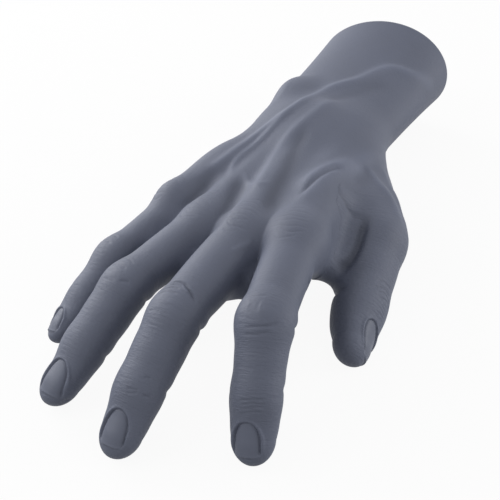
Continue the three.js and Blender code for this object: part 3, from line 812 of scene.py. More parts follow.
def seams_of(name):
    """The planes that divide a digit, each with the direction of the digit there: just before the
    middle hinge, and across the middle bone. The thumb has one, across its lower bone."""
    across_bone = [(on_bone(name, 1, MIDDLE_SEAM[name]), -BONES[name][1]["axes"][:, 1])]
    if name == "thumb":
        return across_bone
    place, along = joint_line(name, 1)
    return [(place - (REACH["middle"][name] + SEAM_SPARE) * along, along)] + across_bone


middles = points[quads].mean(1)
piece_of = np.full(len(quads), PALM_PIECE)
piece_names = ["palm_skin"]
for name in DIGITS:
    chosen = np.flatnonzero(in_digit(name, middles))
    number = np.full(len(chosen), len(piece_names))
    for place, along in seams_of(name):
        number += (middles[chosen] - place) @ along > 0
    if name == "thumb":
        in_strip = height_in_web("thumb", "index", middles[chosen]) > -THUMB_WEB_STRIP
        number[in_strip] = len(piece_names)
    piece_of[chosen] = number
    piece_names += [f"{name}_{part}_skin" for part in PARTS[name]]
print({name: int((piece_of == k).sum()) for k, name in enumerate(piece_names)})

# %% [markdown]
# ## Finer faces on the digits
#
# Nails and wrinkles are a third of a millimetre wide, finer than the net. So the faces of the
# digits are divided once more, into four each, and the new points are put back on the surface. The
# palm stays coarser, because its veins and creases are broad. Where the two meet, a new point stays
# exactly halfway along the coarse edge, so no gap opens between the skins.


# %% Divide the digits' faces
def divided(quads, first_new):
    """Four faces for each one, round its middle. Also gives the pairs of points that each new edge
    point lies between, and which of those edges have only one face."""
    pairs = np.sort(np.stack(face_edges(quads), axis=1), axis=1)
    whole = pairs[:, 0] * first_new + pairs[:, 1]
    whole, first, number, uses = np.unique(whole, return_index=True, return_inverse=True,
                                           return_counts=True)
    pairs = pairs[first]
    halfway = first_new + number.reshape(-1, 4)
    middle = first_new + len(pairs) + np.arange(len(quads))
    small = [np.stack([quads[:, k], halfway[:, k], middle, halfway[:, k - 1]], axis=1)
             for k in range(4)]
    return np.stack(small, axis=1).reshape(-1, 4), pairs, uses == 1


on_digit = piece_of != PALM_PIECE
small_quads, halfway_pairs, on_border = divided(quads[on_digit], len(points))
halfway_points = points[halfway_pairs].mean(1)
middle_points = points[quads[on_digit]].mean(1)
base_points = np.concatenate([points, halfway_points, middle_points])
border_points = len(points) + np.flatnonzero(on_border)
skin_quads = np.concatenate([quads[~on_digit], small_quads])
skin_piece = np.concatenate([piece_of[~on_digit], np.repeat(piece_of[on_digit], 4)])
base_normals = point_normals(base_points, skin_quads)
fresh = np.arange(len(base_points)) >= len(points)
fresh[border_points] = False
base_points[fresh] = onto_surface(base_points[fresh], base_normals[fresh])
print("fine skin:", len(base_points), "points,", len(skin_quads), "faces")

# %% Ease the skin beside the thumb's knuckle
# Several forms meet there and leave a crease that the object doesn't have. The points near it move
# to the mean of their neighbours, again and again, less at the edge of the place.
EASED_PLACE = (37.5, -60, 0)
EASED_REACH = 12.0
EASED_EDGE = 5.0
EASED_ROUNDS = 80
away = np.linalg.norm((base_points - wrist_place) @ palm_turn - EASED_PLACE, axis=1)
ease = smooth_step((EASED_REACH - away) / EASED_EDGE)
pairs = np.stack(face_edges(skin_quads), axis=1)
near_ids, pairs = np.unique(pairs[(ease[pairs] > 0).any(1)], return_inverse=True)
starts, stops = pairs.reshape(-1, 2).T
moved = base_points[near_ids]
counts = np.maximum(np.bincount(starts, minlength=len(near_ids)), 1)
for _ in range(EASED_ROUNDS):
    means = np.stack([np.bincount(starts, moved[stops, axis], len(near_ids)) / counts
                      for axis in range(3)], axis=1)
    moved += ease[near_ids, None] * (means - moved)
print("eased points:", int((ease > 0).sum()), "moved up to",
      round(float(np.linalg.norm(moved - base_points[near_ids], axis=1).max()), 2), "mm")
base_points[near_ids] = moved
base_normals = point_normals(base_points, skin_quads)

# %% [markdown]
# ## Measures along the skin
#
# Relief on a digit is easiest to place in the digit's own measures: how far along it, how far
# round it and how far across. The three bones of a finger share one hinge axis, so the measure
# across is the same for all of them, and the other two are carried over smoothly at each hinge.

# %% Digit measures
OVER_HINGE = 6.0
digit_of = np.full(len(base_points), -1)
for number, name in enumerate(DIGITS):
    own = [k for k, piece in enumerate(piece_names) if piece.startswith(name + "_")]
    digit_of[skin_quads[np.isin(skin_piece, own)]] = number


def measures(name, places):
    """Across, along from the first bone's start, and out of the back of the digit. Over each hinge
    the measures of the two bones are mixed by a smooth step along the line of the joint."""
    start = 0.0
    for index, bone in enumerate(BONES[name]):
        across, back, out = ((places - bone["place"]) @ bone["axes"]).T
        along = start - back
        if index == 0:
            total = np.stack([across, along, out], axis=1)
        else:
            place, line = joint_line(name, index)
            share = smooth_step(((places - place) @ line / OVER_HINGE + 1) / 2)
            total += share[:, None] * (np.stack([across, along, out], axis=1) - total)
        start += bone["length"]
    return total


def hinge_along(name, index):
    """How far along the digit the start of a bone lies."""
    return sum(bone["length"] for bone in BONES[name][:index])


def bump(value, width):
    """A round hill of height one at nought: the bell curve of the value divided by the width."""
    return np.exp(-(value / width) ** 2)


def window(value, low, high, soft):
    """One between two limits, with smooth ends as wide as soft."""
    return smooth_step((value - low) / soft + 0.5) * smooth_step((high - value) / soft + 0.5)


# %% [markdown]
# ## Nails
#
# A nail is moulded into the silicone, so it is relief and no piece of its own. Round its base and
# sides the skin rises in a fold and the nail dips into a groove under it, and at the free end the
# nail stands a little proud of the fingertip. Most of that follows from one number at each point:
# how far inside the nail's outline it lies. All lengths are in millimetres, along the last bone
# from its hinge and across it.

# %% Nail relief
# Where each nail starts and ends, half its width, how far it sits to one side, and its slant: how
# much further to that side it sits for each millimetre towards the tip.
NAILS = {
    "index": {"base": 9.1, "free": 21.8, "half_width": 5.6, "shift": -0.9, "slant": 0.0},
    "middle": {"base": 8.9, "free": 22.4, "half_width": 5.7, "shift": 0.1, "slant": 0.0},
    "ring": {"base": 9.5, "free": 23.2, "half_width": 6.0, "shift": 1.0, "slant": 0.06},
    "little": {"base": 10.5, "free": 20.8, "half_width": 4.6, "shift": -0.6, "slant": 0.0},
    "thumb": {"base": 9.9, "free": 24.6, "half_width": 6.6, "shift": 2.2, "slant": 0.5},
}
# Share of the half width at the nail's middle, and how much more it is at the free end.
NAIL_TAPER = (0.93, 0.09)
# Power of the outline at the base, how much more it is at the free end, and where that starts and
# how long it takes, in half lengths from the nail's middle.
NAIL_POWER = (2.2, 1.6, -0.3, 0.8)
# How fast a point counts as beside the nail's middle line, and the share of it that is left out.
BESIDE = (1.5, 0.4)
# Angle from the back of the digit up to which there is nail, and how softly that ends, in radians.
NAIL_ARC = (1.9, 0.5)
# How deep the plate lies, and the groove round it: its depth, its width and how much of it is left
# at the base.
NAIL_INSET = 0.2
NAIL_GROOVE = (0.95, 0.6, 0.4)
# The fold outside the outline: its height, its distance and width, how much of it is left at the
# base, and where before the free end it starts to fade and over what length.
NAIL_FOLD = {"height": 0.4, "place": 0.65, "width": 0.6, "at_base": 0.3, "fade": (8, 7)}
NAIL_WALL = 0.45
# The free end: where before it the plate starts to lift and over what length, the plate's height
# there, the height, place and width of its lip, and the depth and width of the step under it.
FREE_END = {"lift": (3.0, 2.6), "plate": -0.05, "lip": (0.16, 0.4, 0.4), "step": (0.55, 0.7)}
# Distances inside the outline between which there is any relief of the nail, and their soft ends.
NAIL_ROOM = (-4, 40, 2)


def inside_nail(name, across, along):
    """How far inside a nail's outline a point lies, and how far it is beside the nail's middle
    line, from nought to one. The outline is an oval whose power is low towards the base, which
    makes it an arch, and high towards the free end, which makes it square."""
    nail = NAILS[name]
    middle = (nail["base"] + nail["free"]) / 2
    length = (nail["free"] - nail["base"]) / 2
    across = across - nail["shift"] - nail["slant"] * (along - middle)
    share = (along - middle) / length
    wide = nail["half_width"] * (NAIL_TAPER[0] + NAIL_TAPER[1] * np.clip(share, -1, 1))
    low, more, start, over = NAIL_POWER
    power = low + more * smooth_step((share - start) / over)
    scale = (np.abs(across / wide) ** power + np.abs(share) ** power) ** (1 / power)
    reach = np.hypot(across, along - middle)
    beside = smooth_step(BESIDE[0] * np.abs(across / wide) - BESIDE[1])
    return reach * (1 / np.maximum(scale, TINY) - 1), beside


def nail_relief(name, across, along, out):
    """Relief of the nail, and how far each point belongs to the nail plate. A groove lies inside
    the outline and a fold outside it, both stronger at the sides than at the base. The fold fades
    towards the tip, and at the free end the plate ends in a step."""
    inside, beside = inside_nail(name, across, along)
    nail = NAILS[name]
    turned = np.arctan2(across - nail["shift"] - nail["slant"] * (along - nail["base"]), out)
    on_back = window(turned, -NAIL_ARC[0], *NAIL_ARC)
    past_end = along - nail["free"]
    wall = smooth_step(inside / NAIL_WALL + 0.5)

    depth, width, at_base = NAIL_GROOVE
    depth = depth * (at_base + (1 - at_base) * beside)
    groove = -NAIL_INSET - depth * np.exp(-np.maximum(inside, 0) / width)
    start, over = NAIL_FOLD["fade"]
    height = NAIL_FOLD["height"] * (1 - smooth_step((past_end + start) / over))
    height *= NAIL_FOLD["at_base"] + (1 - NAIL_FOLD["at_base"]) * beside
    fold = height * bump(inside + NAIL_FOLD["place"], NAIL_FOLD["width"])
    at_sides = fold + wall * (groove - fold)

    height, place, width = FREE_END["lip"]
    edge = FREE_END["plate"] + height * bump(inside - place, width)
    depth, width = FREE_END["step"]
    under = -depth * (1 - beside) * np.exp(-np.maximum(-inside, 0) / width)
    at_end = under + wall * (edge - under)
    start, over = FREE_END["lift"]
    free_end = smooth_step((past_end + start) / over)
    relief = at_sides + free_end * (at_end - at_sides)
    return window(inside, *NAIL_ROOM) * on_back * relief, wall * on_back


# %% [markdown]
# ## Wrinkles and creases
#
# Over the back of each joint the skin of a straight finger lies in fine folds. They arch away from
# the joint on both sides, so they look like a lens. On the palm side a few deep creases cross the
# finger where it folds, and the pads between them swell. The fine folds of each joint come from a
# seeded random generator, so no two joints look the same and every run gives the same hand. The
# deeper ones are drawn one by one, each through a few places.


# %% Wrinkle relief
# Each fold draws from these ranges: its place in the row, its length, where its middle lies round
# the digit, its slant and its strength. The outer folds of a row are shorter.
START_RANGE = 0.25
LENGTH_RANGE = (0.6, 1.0)
MIDDLE_RANGE = 0.18
SLANT_RANGE = 0.06
STRENGTH_RANGE = (0.55, 1.0)
OUTER_SHORTER = 0.35
# How far a fold wavers, and how fast. Beside each fold the skin swells by a share of its depth, a
# few widths away.
WAVER = (0.25, 0.9)
SWELL = (0.35, 1.6)


def wrinkles(seed, around, along, count, spread, half_length, depth, width, arch):
    """Fine folds across a joint. Each is a groove along a curve whose place along the digit is a
    parabola of the measure round it, with its own start, length, slant, waver and depth."""
    random = np.random.default_rng(seed)
    total = np.zeros(len(around))
    for share in np.linspace(-1, 1, count):
        start = share * spread + random.uniform(-START_RANGE, START_RANGE) * spread / count
        length = half_length * random.uniform(*LENGTH_RANGE) * (1 - OUTER_SHORTER * abs(share))
        middle = random.uniform(-MIDDLE_RANGE, MIDDLE_RANGE) * half_length
        slant = random.uniform(-SLANT_RANGE, SLANT_RANGE)
        phase = random.uniform(0, 2 * np.pi)
        here = (around - middle) / length
        line = start * (1 - arch * here ** 2) + slant * (around - middle)
        line += WAVER[0] * np.sin(around * WAVER[1] + phase)
        strength = depth * random.uniform(*STRENGTH_RANGE) * np.clip(1 - here ** 2, 0, 1)
        total -= strength * bump(along - line, width)
        total += SWELL[0] * strength * bump(along - line - SWELL[1] * width, width)
    return total


# The fine folds over the middle and the end hinge: how many, how far they spread along the digit to
# both sides, how deep and how wide they are.
JOINT_FOLDS = {
    "index": ((10, 8.0, 0.07, 0.36), (7, 4.6, 0.07, 0.34)),
    "middle": ((10, 8.0, 0.08, 0.38), (7, 4.4, 0.08, 0.34)),
    "ring": ((10, 7.8, 0.10, 0.38), (6, 4.4, 0.07, 0.34)),
    "little": ((8, 6.0, 0.10, 0.36), (5, 3.6, 0.07, 0.32)),
    "thumb": ((8, 7.5, 0.07, 0.40), (10, 8.0, 0.12, 0.38)),
}
# The deeper folds of each digit: which hinge each lies at, its width, its height, and its path
# through places across the digit and along from that hinge.
FOLD_LINES = {
    "index": (
        (1, 0.5, -0.2, ((-5.6, -2.9), (-2, -2.9), (1.9, -2.8))),
        (1, 0.5, -0.2, ((-4.6, -0.5), (-2, -0.2), (0.4, -0.4))),
        (1, 0.5, -0.34, ((-4.6, 3.4), (0.5, 3.1), (4.8, 2.3), (7.4, 1.0))),
        (1, 0.5, -0.3, ((-5, 6.1), (0.7, 5.6), (5.4, 4.3))),
        (2, 0.4, -0.26, ((-4, 1.8), (0.7, 1.1), (6.8, 0.6))),
        (2, 0.4, -0.24, ((-3.6, 3.1), (1.2, 2.2), (6.4, 2.2))),
        (2, 0.4, -0.22, ((-3, 4.3), (1.7, 3.4), (5.8, 2.9))),
        (2, 0.4, -0.2, ((-3.4, 6), (1.3, 5), (4.6, 4.7))),
    ),
    "middle": (
        (1, 0.6, -0.8, ((-7.5, -5.2), (-3.2, -8.0), (0.2, -8.2), (3.0, -7.0), (6.3, -5.1),
         (8.6, -3.4))),
        (1, 0.55, 0.45, ((-7.5, -4.0), (-3.2, -6.8), (0.2, -7.1), (3.0, -5.8), (6, -4.2))),
        (1, 0.45, -0.34, ((-6.6, -2.4), (-4.7, -3.7), (-1.2, -5.0), (1.6, -4.6))),
        (1, 0.45, -0.34, ((-6.8, -0.9), (-4.2, -2.1), (-1.1, -2.5), (2.2, -2.2))),
        (1, 0.5, -0.2, ((-6, 3.4), (-3, 3.0), (0, 3.2))),
        (2, 0.4, -0.24, ((0, 1.6), (3.5, 1.0), (5, 0.6))),
        (2, 0.4, -0.24, ((1, 2.9), (3, 2.4), (5, 1.6))),
        (2, 0.4, -0.3, ((4.6, -3.7), (6.9, -4.5))),
        (2, 0.45, -0.3, ((6.4, 1.8), (8.6, 1.2))),
    ),
    "ring": (
        (1, 0.5, -0.35, ((5.2, 2.2), (6.2, 1.8), (8.4, 1.2))),
        (1, 0.5, -0.28, ((-4, -4.6), (0, -5.2), (4.5, -4.0))),
        (1, 0.5, -0.28, ((-4, -1.0), (0, -1.6), (4.6, -1.2))),
        (1, 0.45, -0.2, ((-3.5, 3.4), (0, 3.4), (4, 3.0))),
    ),
    "little": (
        (1, 0.45, -0.26, ((-4, -3.6), (0, -4.2), (4, -3.4))),
        (1, 0.45, -0.26, ((-4, -0.4), (0, -0.8), (4, -0.4))),
    ),
    "thumb": (
        (2, 0.45, -0.26, ((-7, -6.6), (-4, -8.0), (-0.5, -8.6), (3, -8.3))),
        (2, 0.5, -0.36, ((-8.5, -2.4), (-4, -5.1), (0, -5.4), (3.4, -4.6))),
        (2, 0.45, -0.32, ((-6, -1.6), (-2, -3.8), (1.6, -3.3), (4.4, -2.2))),
        (2, 0.45, -0.28, ((-5, 0.6), (-1, -1.2), (3, -1.6), (5.4, -0.4))),
    ),
}
# Half the length of a fine fold as a share of the digit's half width, and how much it arches.
FOLD_LENGTH = 0.95
FOLD_ARCH = 0.15
# How far along the digit each crease of the palm side lies, and how deep it is.
PALM_SIDE_CREASES = {
    "index": ((22.5, 0.6), (44.9, 0.6), (68.1, 0.55)),
    "middle": ((24.0, 0.6), (48.6, 0.5), (75.6, 0.45)),
    "ring": ((23.0, 0.6), (45.2, 0.35), (72.9, 0.3)),
    "little": ((20.5, 0.5), (35.8, 0.35), (55.6, 0.3)),
    "thumb": ((48.5, 0.5), (77.6, 0.6)),
}
# How fast the creases curve, their width, and where they fade out round the digit, in radians from
# its palm side. The swellings: height as a share of the depth, place and width.
CREASE_BOW = 0.012
CREASE_WIDTH = 1.4
CREASE_FADE = (1.75, 0.6)
CREASE_SWELLINGS = ((0.6, -4.0, 2.6), (0.1, 3.4, 2.2))


def back_folds(name, around, along):
    """The folds over the middle and the end hinge of a digit, or both hinges of the thumb."""
    total = np.zeros(len(around))
    for order, (count, spread, depth, width) in enumerate(JOINT_FOLDS[name]):
        here = along - hinge_along(name, order + 1)
        seed = 10 * DIGITS.index(name) + order
        half_length = FOLD_LENGTH * DIGIT[name]["widths"][2 * order + 2]
        total += wrinkles(seed, around, here, count, spread, half_length, depth, width, FOLD_ARCH)
    return total


def fold_lines(name, across, along):
    """The deeper folds of a digit, each drawn through a few places."""
    total = np.zeros(len(across))
    for joint, *line in FOLD_LINES[name]:
        flat = np.stack([across, along - hinge_along(name, joint)], axis=1)
        total += line_relief(flat, *line)
    return total


def palm_side_creases(name, across, along, out):
    """Deep creases on the palm side: grooves that bow a little, with swollen edges, fading out
    where they reach the back of the digit."""
    fade = smooth_step((CREASE_FADE[0] - np.abs(np.arctan2(across, -out))) / CREASE_FADE[1])
    total = np.zeros(len(across))
    for number, (place, depth) in enumerate(PALM_SIDE_CREASES[name]):
        here = along - place - CREASE_BOW * across ** 2 * (1 if number else -1)
        form = -bump(here, CREASE_WIDTH)
        for height, spot, width in CREASE_SWELLINGS:
            form += height * bump(here - spot, width)
        total += fade * depth * form
    return total


# %% [markdown]
# ## Veins, tendons and the creases of the palm
#
# On the back of the hand, veins and tendons raise the skin in long soft ridges, with hollows
# between them. In the palm, deep lines part the pads. Each is drawn as a curve through a few places
# in the palm's own axes. A point's distance from that curve gives its height, and the height fades
# towards the curve's ends.

# %% Lines in the palm's axes
# Ridges and grooves of the back: width, height, and a path through places in the palm's axes,
# across it and back towards the forearm. Then those of the palm's side.
BACK_LINES = (
    (2.6, 1.25, ((36, 62), (29.5, 50.4), (17.8, 42.3), (9.4, 25.5), (0.8, 12.5), (-3.2, -5))),
    (2.3, 1.2, ((-1, 10), (-5.2, -9.8), (-12, -22), (-18.2, -33.2), (-22.3, -52.7), (-28.6, -76))),
    (1.8, 0.85, ((-5, -12), (-10, -24), (-14.3, -36), (-17.3, -53.8), (-13.3, -66))),
    (2.6, 0.7, ((8, 4), (5, -14), (-1.5, -36), (0.5, -58), (5.5, -84))),
    (2.7, 1.1, ((35, -8), (31, -28), (27.8, -39), (23.7, -50.3), (21.6, -59.5), (19.6, -71))),
    (2.9, 1.05, ((33.5, -31), (30.1, -39.8), (28.2, -49.9), (26.4, -66), (24.8, -81))),
    (1.2, -0.9, ((28.2, -43), (26.1, -51.2), (24.3, -62.2), (22.4, -75))),
    (2.0, -1.9, ((43.9, -57), (44.5, -66.6), (44.5, -72.9), (43.3, -78.6), (40, -84))),
    (1.7, 0.75, ((31, -26), (41.3, -36.9), (50.2, -43.6), (57, -53))),
    (1.3, 0.5, ((35.5, -18), (44, -31), (52.5, -41), (58, -49))),
    (3, 0.5, ((-22, 34), (-23, 18), (-21, 2), (-26, -16))),
    (1.6, 0.5, ((-10, -60), (-3, -68), (2, -72), (9, -70))),
    (3.4, -1.25, ((4.6, -22), (5.6, -38), (9.5, -56), (12.6, -76), (17, -96))),
    (3.2, -1.0, ((-9, -62), (-5, -78), (-1.5, -94), (-3.5, -106))),
    (3.0, -0.9, ((-24, -58), (-23, -74), (-24, -90))),
    (3.5, -0.6, ((22, 34), (12, 14), (4, -4))),
)
FRONT_LINES = (
    (0.95, -1.0, ((33, -71), (24, -64), (13, -54), (5, -40), (3, -24), (6, -11))),
    (0.85, -0.8, ((33, -70), (20, -66), (4, -59), (-12, -50), (-28, -38))),
    (0.9, -0.9, ((-45, -66), (-32, -71), (-16, -74), (0, -77), (9, -84), (14, -93))),
    (0.7, -0.35, ((-2, -22), (-4, -40), (-5, -58))),
    (0.8, -0.6, ((-24, 2), (-8, 0.5), (8, 1.5), (24, 0))),
    (0.8, -0.5, ((-22, 7.5), (-8, 6), (8, 7), (22, 6.5))),
    (2.4, 0.7, ((2, 12), (1.5, 30), (0, 52))),
    (2.2, 0.6, ((9.5, 12), (10, 30), (10.5, 48))),
)
LINE_STEPS = 24
LINE_ROOM = 3
LINE_FADE = 0.2


def through_points(path):
    """A smooth curve through the given places: in each stretch a cubic whose ends head along the
    line between the neighbours on both sides."""
    path = np.array(path, float)
    padded = np.concatenate([[2 * path[0] - path[1]], path, [2 * path[-1] - path[-2]]])
    t = (np.arange(LINE_STEPS) / LINE_STEPS)[:, None]
    stretches = [
        0.5 * (2 * b + (c - a) * t + (2 * a - 5 * b + 4 * c - d) * t ** 2
               + (3 * b - a - 3 * c + d) * t ** 3)
        for a, b, c, d in zip(padded, padded[1:], padded[2:], padded[3:])]
    return np.concatenate(stretches + [path[-1:]])


def line_relief(flat, width, height, path):
    """A ridge or groove along a curve in a plane: height times a bell curve of the distance to the
    nearest point of the curve, less at both ends of the curve."""
    curve = through_points(path)
    room = LINE_ROOM * width
    inside = ((flat > curve.min(0) - room) & (flat < curve.max(0) + room)).all(1)
    places = flat[inside]
    near = np.full(len(places), room)
    share = np.zeros(len(places))
    for number, (start, stop) in enumerate(zip(curve, curve[1:])):
        t, distance = from_line(places, start, stop)
        closer = distance < near
        near[closer] = distance[closer]
        share[closer] = (number + t[closer]) / (len(curve) - 1)
    total = np.zeros(len(flat))
    fade = smooth_step(share / LINE_FADE) * smooth_step((1 - share) / LINE_FADE)
    total[inside] = height * bump(near, width) * fade
    return total


# %% Put the relief on the skin
# The folds over each knuckle: how many, how far they spread, and how deep they are. Then half their
# length, their width and their arch, and the half width and half length of the place they lie in.
KNUCKLE_FOLDS = {"index": (8, 11, 0.20), "middle": (8, 11, 0.22), "ring": (8, 10, 0.20),
                 "little": (6, 8, 0.16)}
KNUCKLE_FOLD_FORM = {"half_length": 10, "width": 0.5, "arch": 0.3}
KNUCKLE_ROOM = (12, 16)
KNUCKLE_SEED = 80
WEB_FOLD = (0.9, 0.3, ((11.6, -114.2), (13.8, -108.6), (16.2, -103.2)))
# How far a normal has to lean to the back or the palm side before relief of that side starts, and
# over what range it grows to its whole height.
SIDE_LEAN = (0.1, 0.5)
KNUCKLE_LEAN = (0.2, 0.4)
# A digit's folds start where the cosine of the angle round it is over minus the first number, and
# grow over the second.
BACK_ROUND = (0.3, 0.5)
# The palm's lines stop here, so they don't mark the fingers.
FINGERS_FROM = -125
# Near the cut end of the forearm the relief fades, from so far before it and over such a length.
END_FADE = (6, 5)
in_palm = (base_points - wrist_place) @ palm_turn
facing_back = base_normals @ palm_turn[:, 2]
to_back = smooth_step((facing_back + SIDE_LEAN[0]) / SIDE_LEAN[1])
to_front = smooth_step((SIDE_LEAN[0] - facing_back) / SIDE_LEAN[1])
relief = np.zeros(len(base_points))
nail_mask = np.zeros(len(base_points))
for lines, share in ((BACK_LINES, to_back), (FRONT_LINES, to_front)):
    chosen = (share > 0) & (in_palm[:, 1] > FINGERS_FROM)
    for line in lines:
        relief[chosen] += share[chosen] * line_relief(in_palm[chosen, :2], *line)
relief += to_back * line_relief(in_palm[:, :2], *WEB_FOLD)
for name, (count, spread, depth) in KNUCKLE_FOLDS.items():
    bone = BONES[name][0]
    local = (base_points - bone["place"]) @ bone["axes"]
    chosen = (np.abs(local[:, :2]) < KNUCKLE_ROOM).all(1) & (facing_back > KNUCKLE_LEAN[0])
    folds = wrinkles(KNUCKLE_SEED + count + DIGITS.index(name), local[chosen, 0],
                     -local[chosen, 1], count, spread, depth=depth, **KNUCKLE_FOLD_FORM)
    lean = (facing_back[chosen] - KNUCKLE_LEAN[0]) / KNUCKLE_LEAN[1]
    relief[chosen] += smooth_step(lean) * folds
along_digit = np.zeros((len(base_points), 3))
for number, name in enumerate(DIGITS):
    chosen = np.flatnonzero(digit_of == number)
    along_digit[chosen] = measures(name, base_points[chosen])
    across, along, out = along_digit[chosen].T
    angle = np.arctan2(across, out)
    around = angle * DIGIT[name]["widths"][2]
    on_back = smooth_step((np.cos(angle) + BACK_ROUND[0]) / BACK_ROUND[1])
    relief[chosen] += on_back * (back_folds(name, around, along) + fold_lines(name, across, along))
    relief[chosen] += palm_side_creases(name, across, along, out)
    tip_along = along - hinge_along(name, len(BONES[name]) - 1)
    nail, plate = nail_relief(name, across, tip_along, out)
    relief[chosen] = relief[chosen] * (1 - plate) + nail
    nail_mask[chosen] = plate
relief *= 1 - smooth_step((to_cut(base_points)[:, 1] + END_FADE[0]) / END_FADE[1])
print("relief from", round(float(relief.min()), 2), "to", round(float(relief.max()), 2), "mm")

# %% Move the points
skin_points = base_points + relief[:, None] * base_normals
skin_points[border_points] = skin_points[halfway_pairs[on_border]].mean(1)
print("lowest point:", round(float(skin_points[:, 2].min()), 3), "mm")

# %% [markdown]
# ## The cut end of the forearm
#
# The skin ends at the slanted cut. There its rim is rounded over, a flat face runs inwards, and an
# oval recess holds the plastic wrist plate, which is a solid of the armature. All of this is a row
# of rings: each ring has one point for every point of the rim, so the faces between two rings need
# no fitting.

# %% Rim, end face and recess
# Half the width and half the height of the recess, its depth, and how much its edge is rounded.
RECESS_HALF = (27.3, 18.3)
RECESS_DEPTH = 5.2
RECESS_ROUND = 0.35
FLAT_RINGS = 5
ROUND_ANGLES = np.radians([22.5, 45, 67.5, 90])


def oval_at(local, half, grow):
    """The point of an oval in the cut's plane that lies at the same scaled angle as a place."""
    angle = np.arctan2(local[:, 2] / half[1], local[:, 0] / half[0])
    return np.stack([(half[0] + grow) * np.cos(angle), np.zeros(len(local)),
                     (half[1] + grow) * np.sin(angle)], axis=1)


rim_ids = np.flatnonzero(at_rim)
rim_local = to_cut(skin_points[rim_ids])
inwards = -(base_normals[rim_ids] @ cut_turn)
inwards[:, 1] = 0
inwards /= np.linalg.norm(inwards, axis=1)[:, None]
rings = []
for angle in ROUND_ANGLES:
    ring = rim_local + RIM_RADIUS * (1 - np.cos(angle)) * inwards
    ring[:, 1] = -RIM_RADIUS * (1 - np.sin(angle))
    rings.append(ring)
edge = oval_at(rim_local, RECESS_HALF, RECESS_ROUND)
rings += [rings[-1] + share * (edge - rings[-1]) for share in np.linspace(0, 1, FLAT_RINGS + 1)[1:]]
for angle in ROUND_ANGLES:
    ring = oval_at(rim_local, RECESS_HALF, RECESS_ROUND * (1 - np.sin(angle)))
    ring[:, 1] = -RECESS_ROUND * (1 - np.cos(angle))
    rings.append(ring)
bottom = rings[-1].copy()
bottom[:, 1] = -RECESS_DEPTH
rings.append(bottom)

starts, stops = face_edges(skin_quads)
rim_edges = np.isin(starts, rim_ids) & np.isin(stops, rim_ids)
forward = set(zip(starts[rim_edges].tolist(), stops[rim_edges].tolist()))
rim_pairs = np.array([pair for pair in forward if pair[::-1] not in forward])
place_in_ring = np.zeros(len(base_points), int)
place_in_ring[rim_ids] = np.arange(len(rim_ids))
first_ring = len(skin_points)
rows = [rim_pairs] + [first_ring + k * len(rim_ids) + place_in_ring[rim_pairs]
                      for k in range(len(rings))]
end_quads = np.concatenate([np.stack([a[:, 1], a[:, 0], b[:, 0], b[:, 1]], axis=1)
                            for a, b in zip(rows, rows[1:])])
skin_points = np.concatenate([skin_points] + [from_cut(ring) for ring in rings])
skin_quads = np.concatenate([skin_quads, end_quads])
skin_piece = np.concatenate([skin_piece, np.full(len(end_quads), PALM_PIECE)])
extra = len(skin_points) - first_ring
nail_mask, relief = np.pad(nail_mask, (0, extra)), np.pad(relief, (0, extra))
along_digit = np.pad(along_digit, ((0, extra), (0, 0)))
digit_of = np.pad(digit_of, (0, extra), constant_values=-1)
print("end of the forearm:", len(rings), "rings of", len(rim_ids), "points")

# %% Rest the hand on the table
TABLE_MELT = 0.6
skin_points[:, 2] = -melt(-skin_points[:, 2], 0.0, TABLE_MELT)
print("lowest point:", round(float(skin_points[:, 2].min()), 3), "mm")

# %% [markdown]
# ## Pieces of skin
#
# Each piece takes its own faces from the whole skin, and its open ends are closed with a cap that
# sinks into the flesh, so it's a solid of its own. The shading normals are worked out on the whole
# skin before it's parted. Without them every seam would show as a fine line, because a normal at
# the edge of a piece knows nothing of the faces across the seam.

# %% Whole-skin normals and attributes
skin_normals = point_normals(skin_points, skin_quads)
skin_normals[border_points] = skin_normals[halfway_pairs[on_border]].sum(1)
skin_normals /= np.maximum(np.linalg.norm(skin_normals, axis=1), TINY)[:, None]
# How far along a digit its own skin texture starts, and over what length.
DIGIT_TEXTURE = (24, 10)
digit_share = smooth_step((along_digit[:, 1] - DIGIT_TEXTURE[0]) / DIGIT_TEXTURE[1])
attributes = {
    "nail": nail_mask,
    "relief": relief,
    "digit": digit_share * (digit_of >= 0),
    "along_digit": along_digit,
}
CAP_DEPTH = 2.5


def loops_in_order(edges, count):
    """The points of each open loop, in the order of its edges. Every point looks ahead twice as far
    in each round, until it knows the lowest number in its loop and its steps to the loop's end."""
    ahead = np.arange(count)
    ahead[edges[:, 0]] = edges[:, 1]
    label = np.arange(count)
    jump = ahead
    rounds = int(np.ceil(np.log2(len(edges) + 1)))
    for _ in range(rounds):
        label = np.minimum(label, label[jump])
        jump = jump[jump]
    rim = np.unique(edges)
    jump = np.where(ahead == label, np.arange(count), ahead)
    steps = (jump != np.arange(count)).astype(int)
    for _ in range(rounds):
        steps += steps[jump]
        jump = jump[jump]
    return [rim[label[rim] == start][np.argsort(-steps[rim[label[rim] == start]])]
            for start in np.unique(label[rim])]


def zipped(loop, places):
    """Faces across a loop, like a zip: the points of its two halves are paired off from the start
    that makes the pairs lie closest together. Four-sided faces, and a triangle at each end."""
    count = len(loop)
    steps = np.arange(1, (count + 1) // 2)
    starts = np.arange(count)[:, None]
    across = places[(starts + steps) % count] - places[(starts - steps) % count]
    start = np.linalg.norm(across, axis=2).sum(1).argmin()
    one, other = loop[(start + steps) % count], loop[(start - steps) % count]
    ends = [[loop[start], one[0], other[0]]]
    if count % 2 == 0:
        ends.append([one[-1], loop[(start + count // 2) % count], other[-1]])
    return [np.stack([one[:-1], one[1:], other[1:], other[:-1]], axis=1), np.array(ends)]


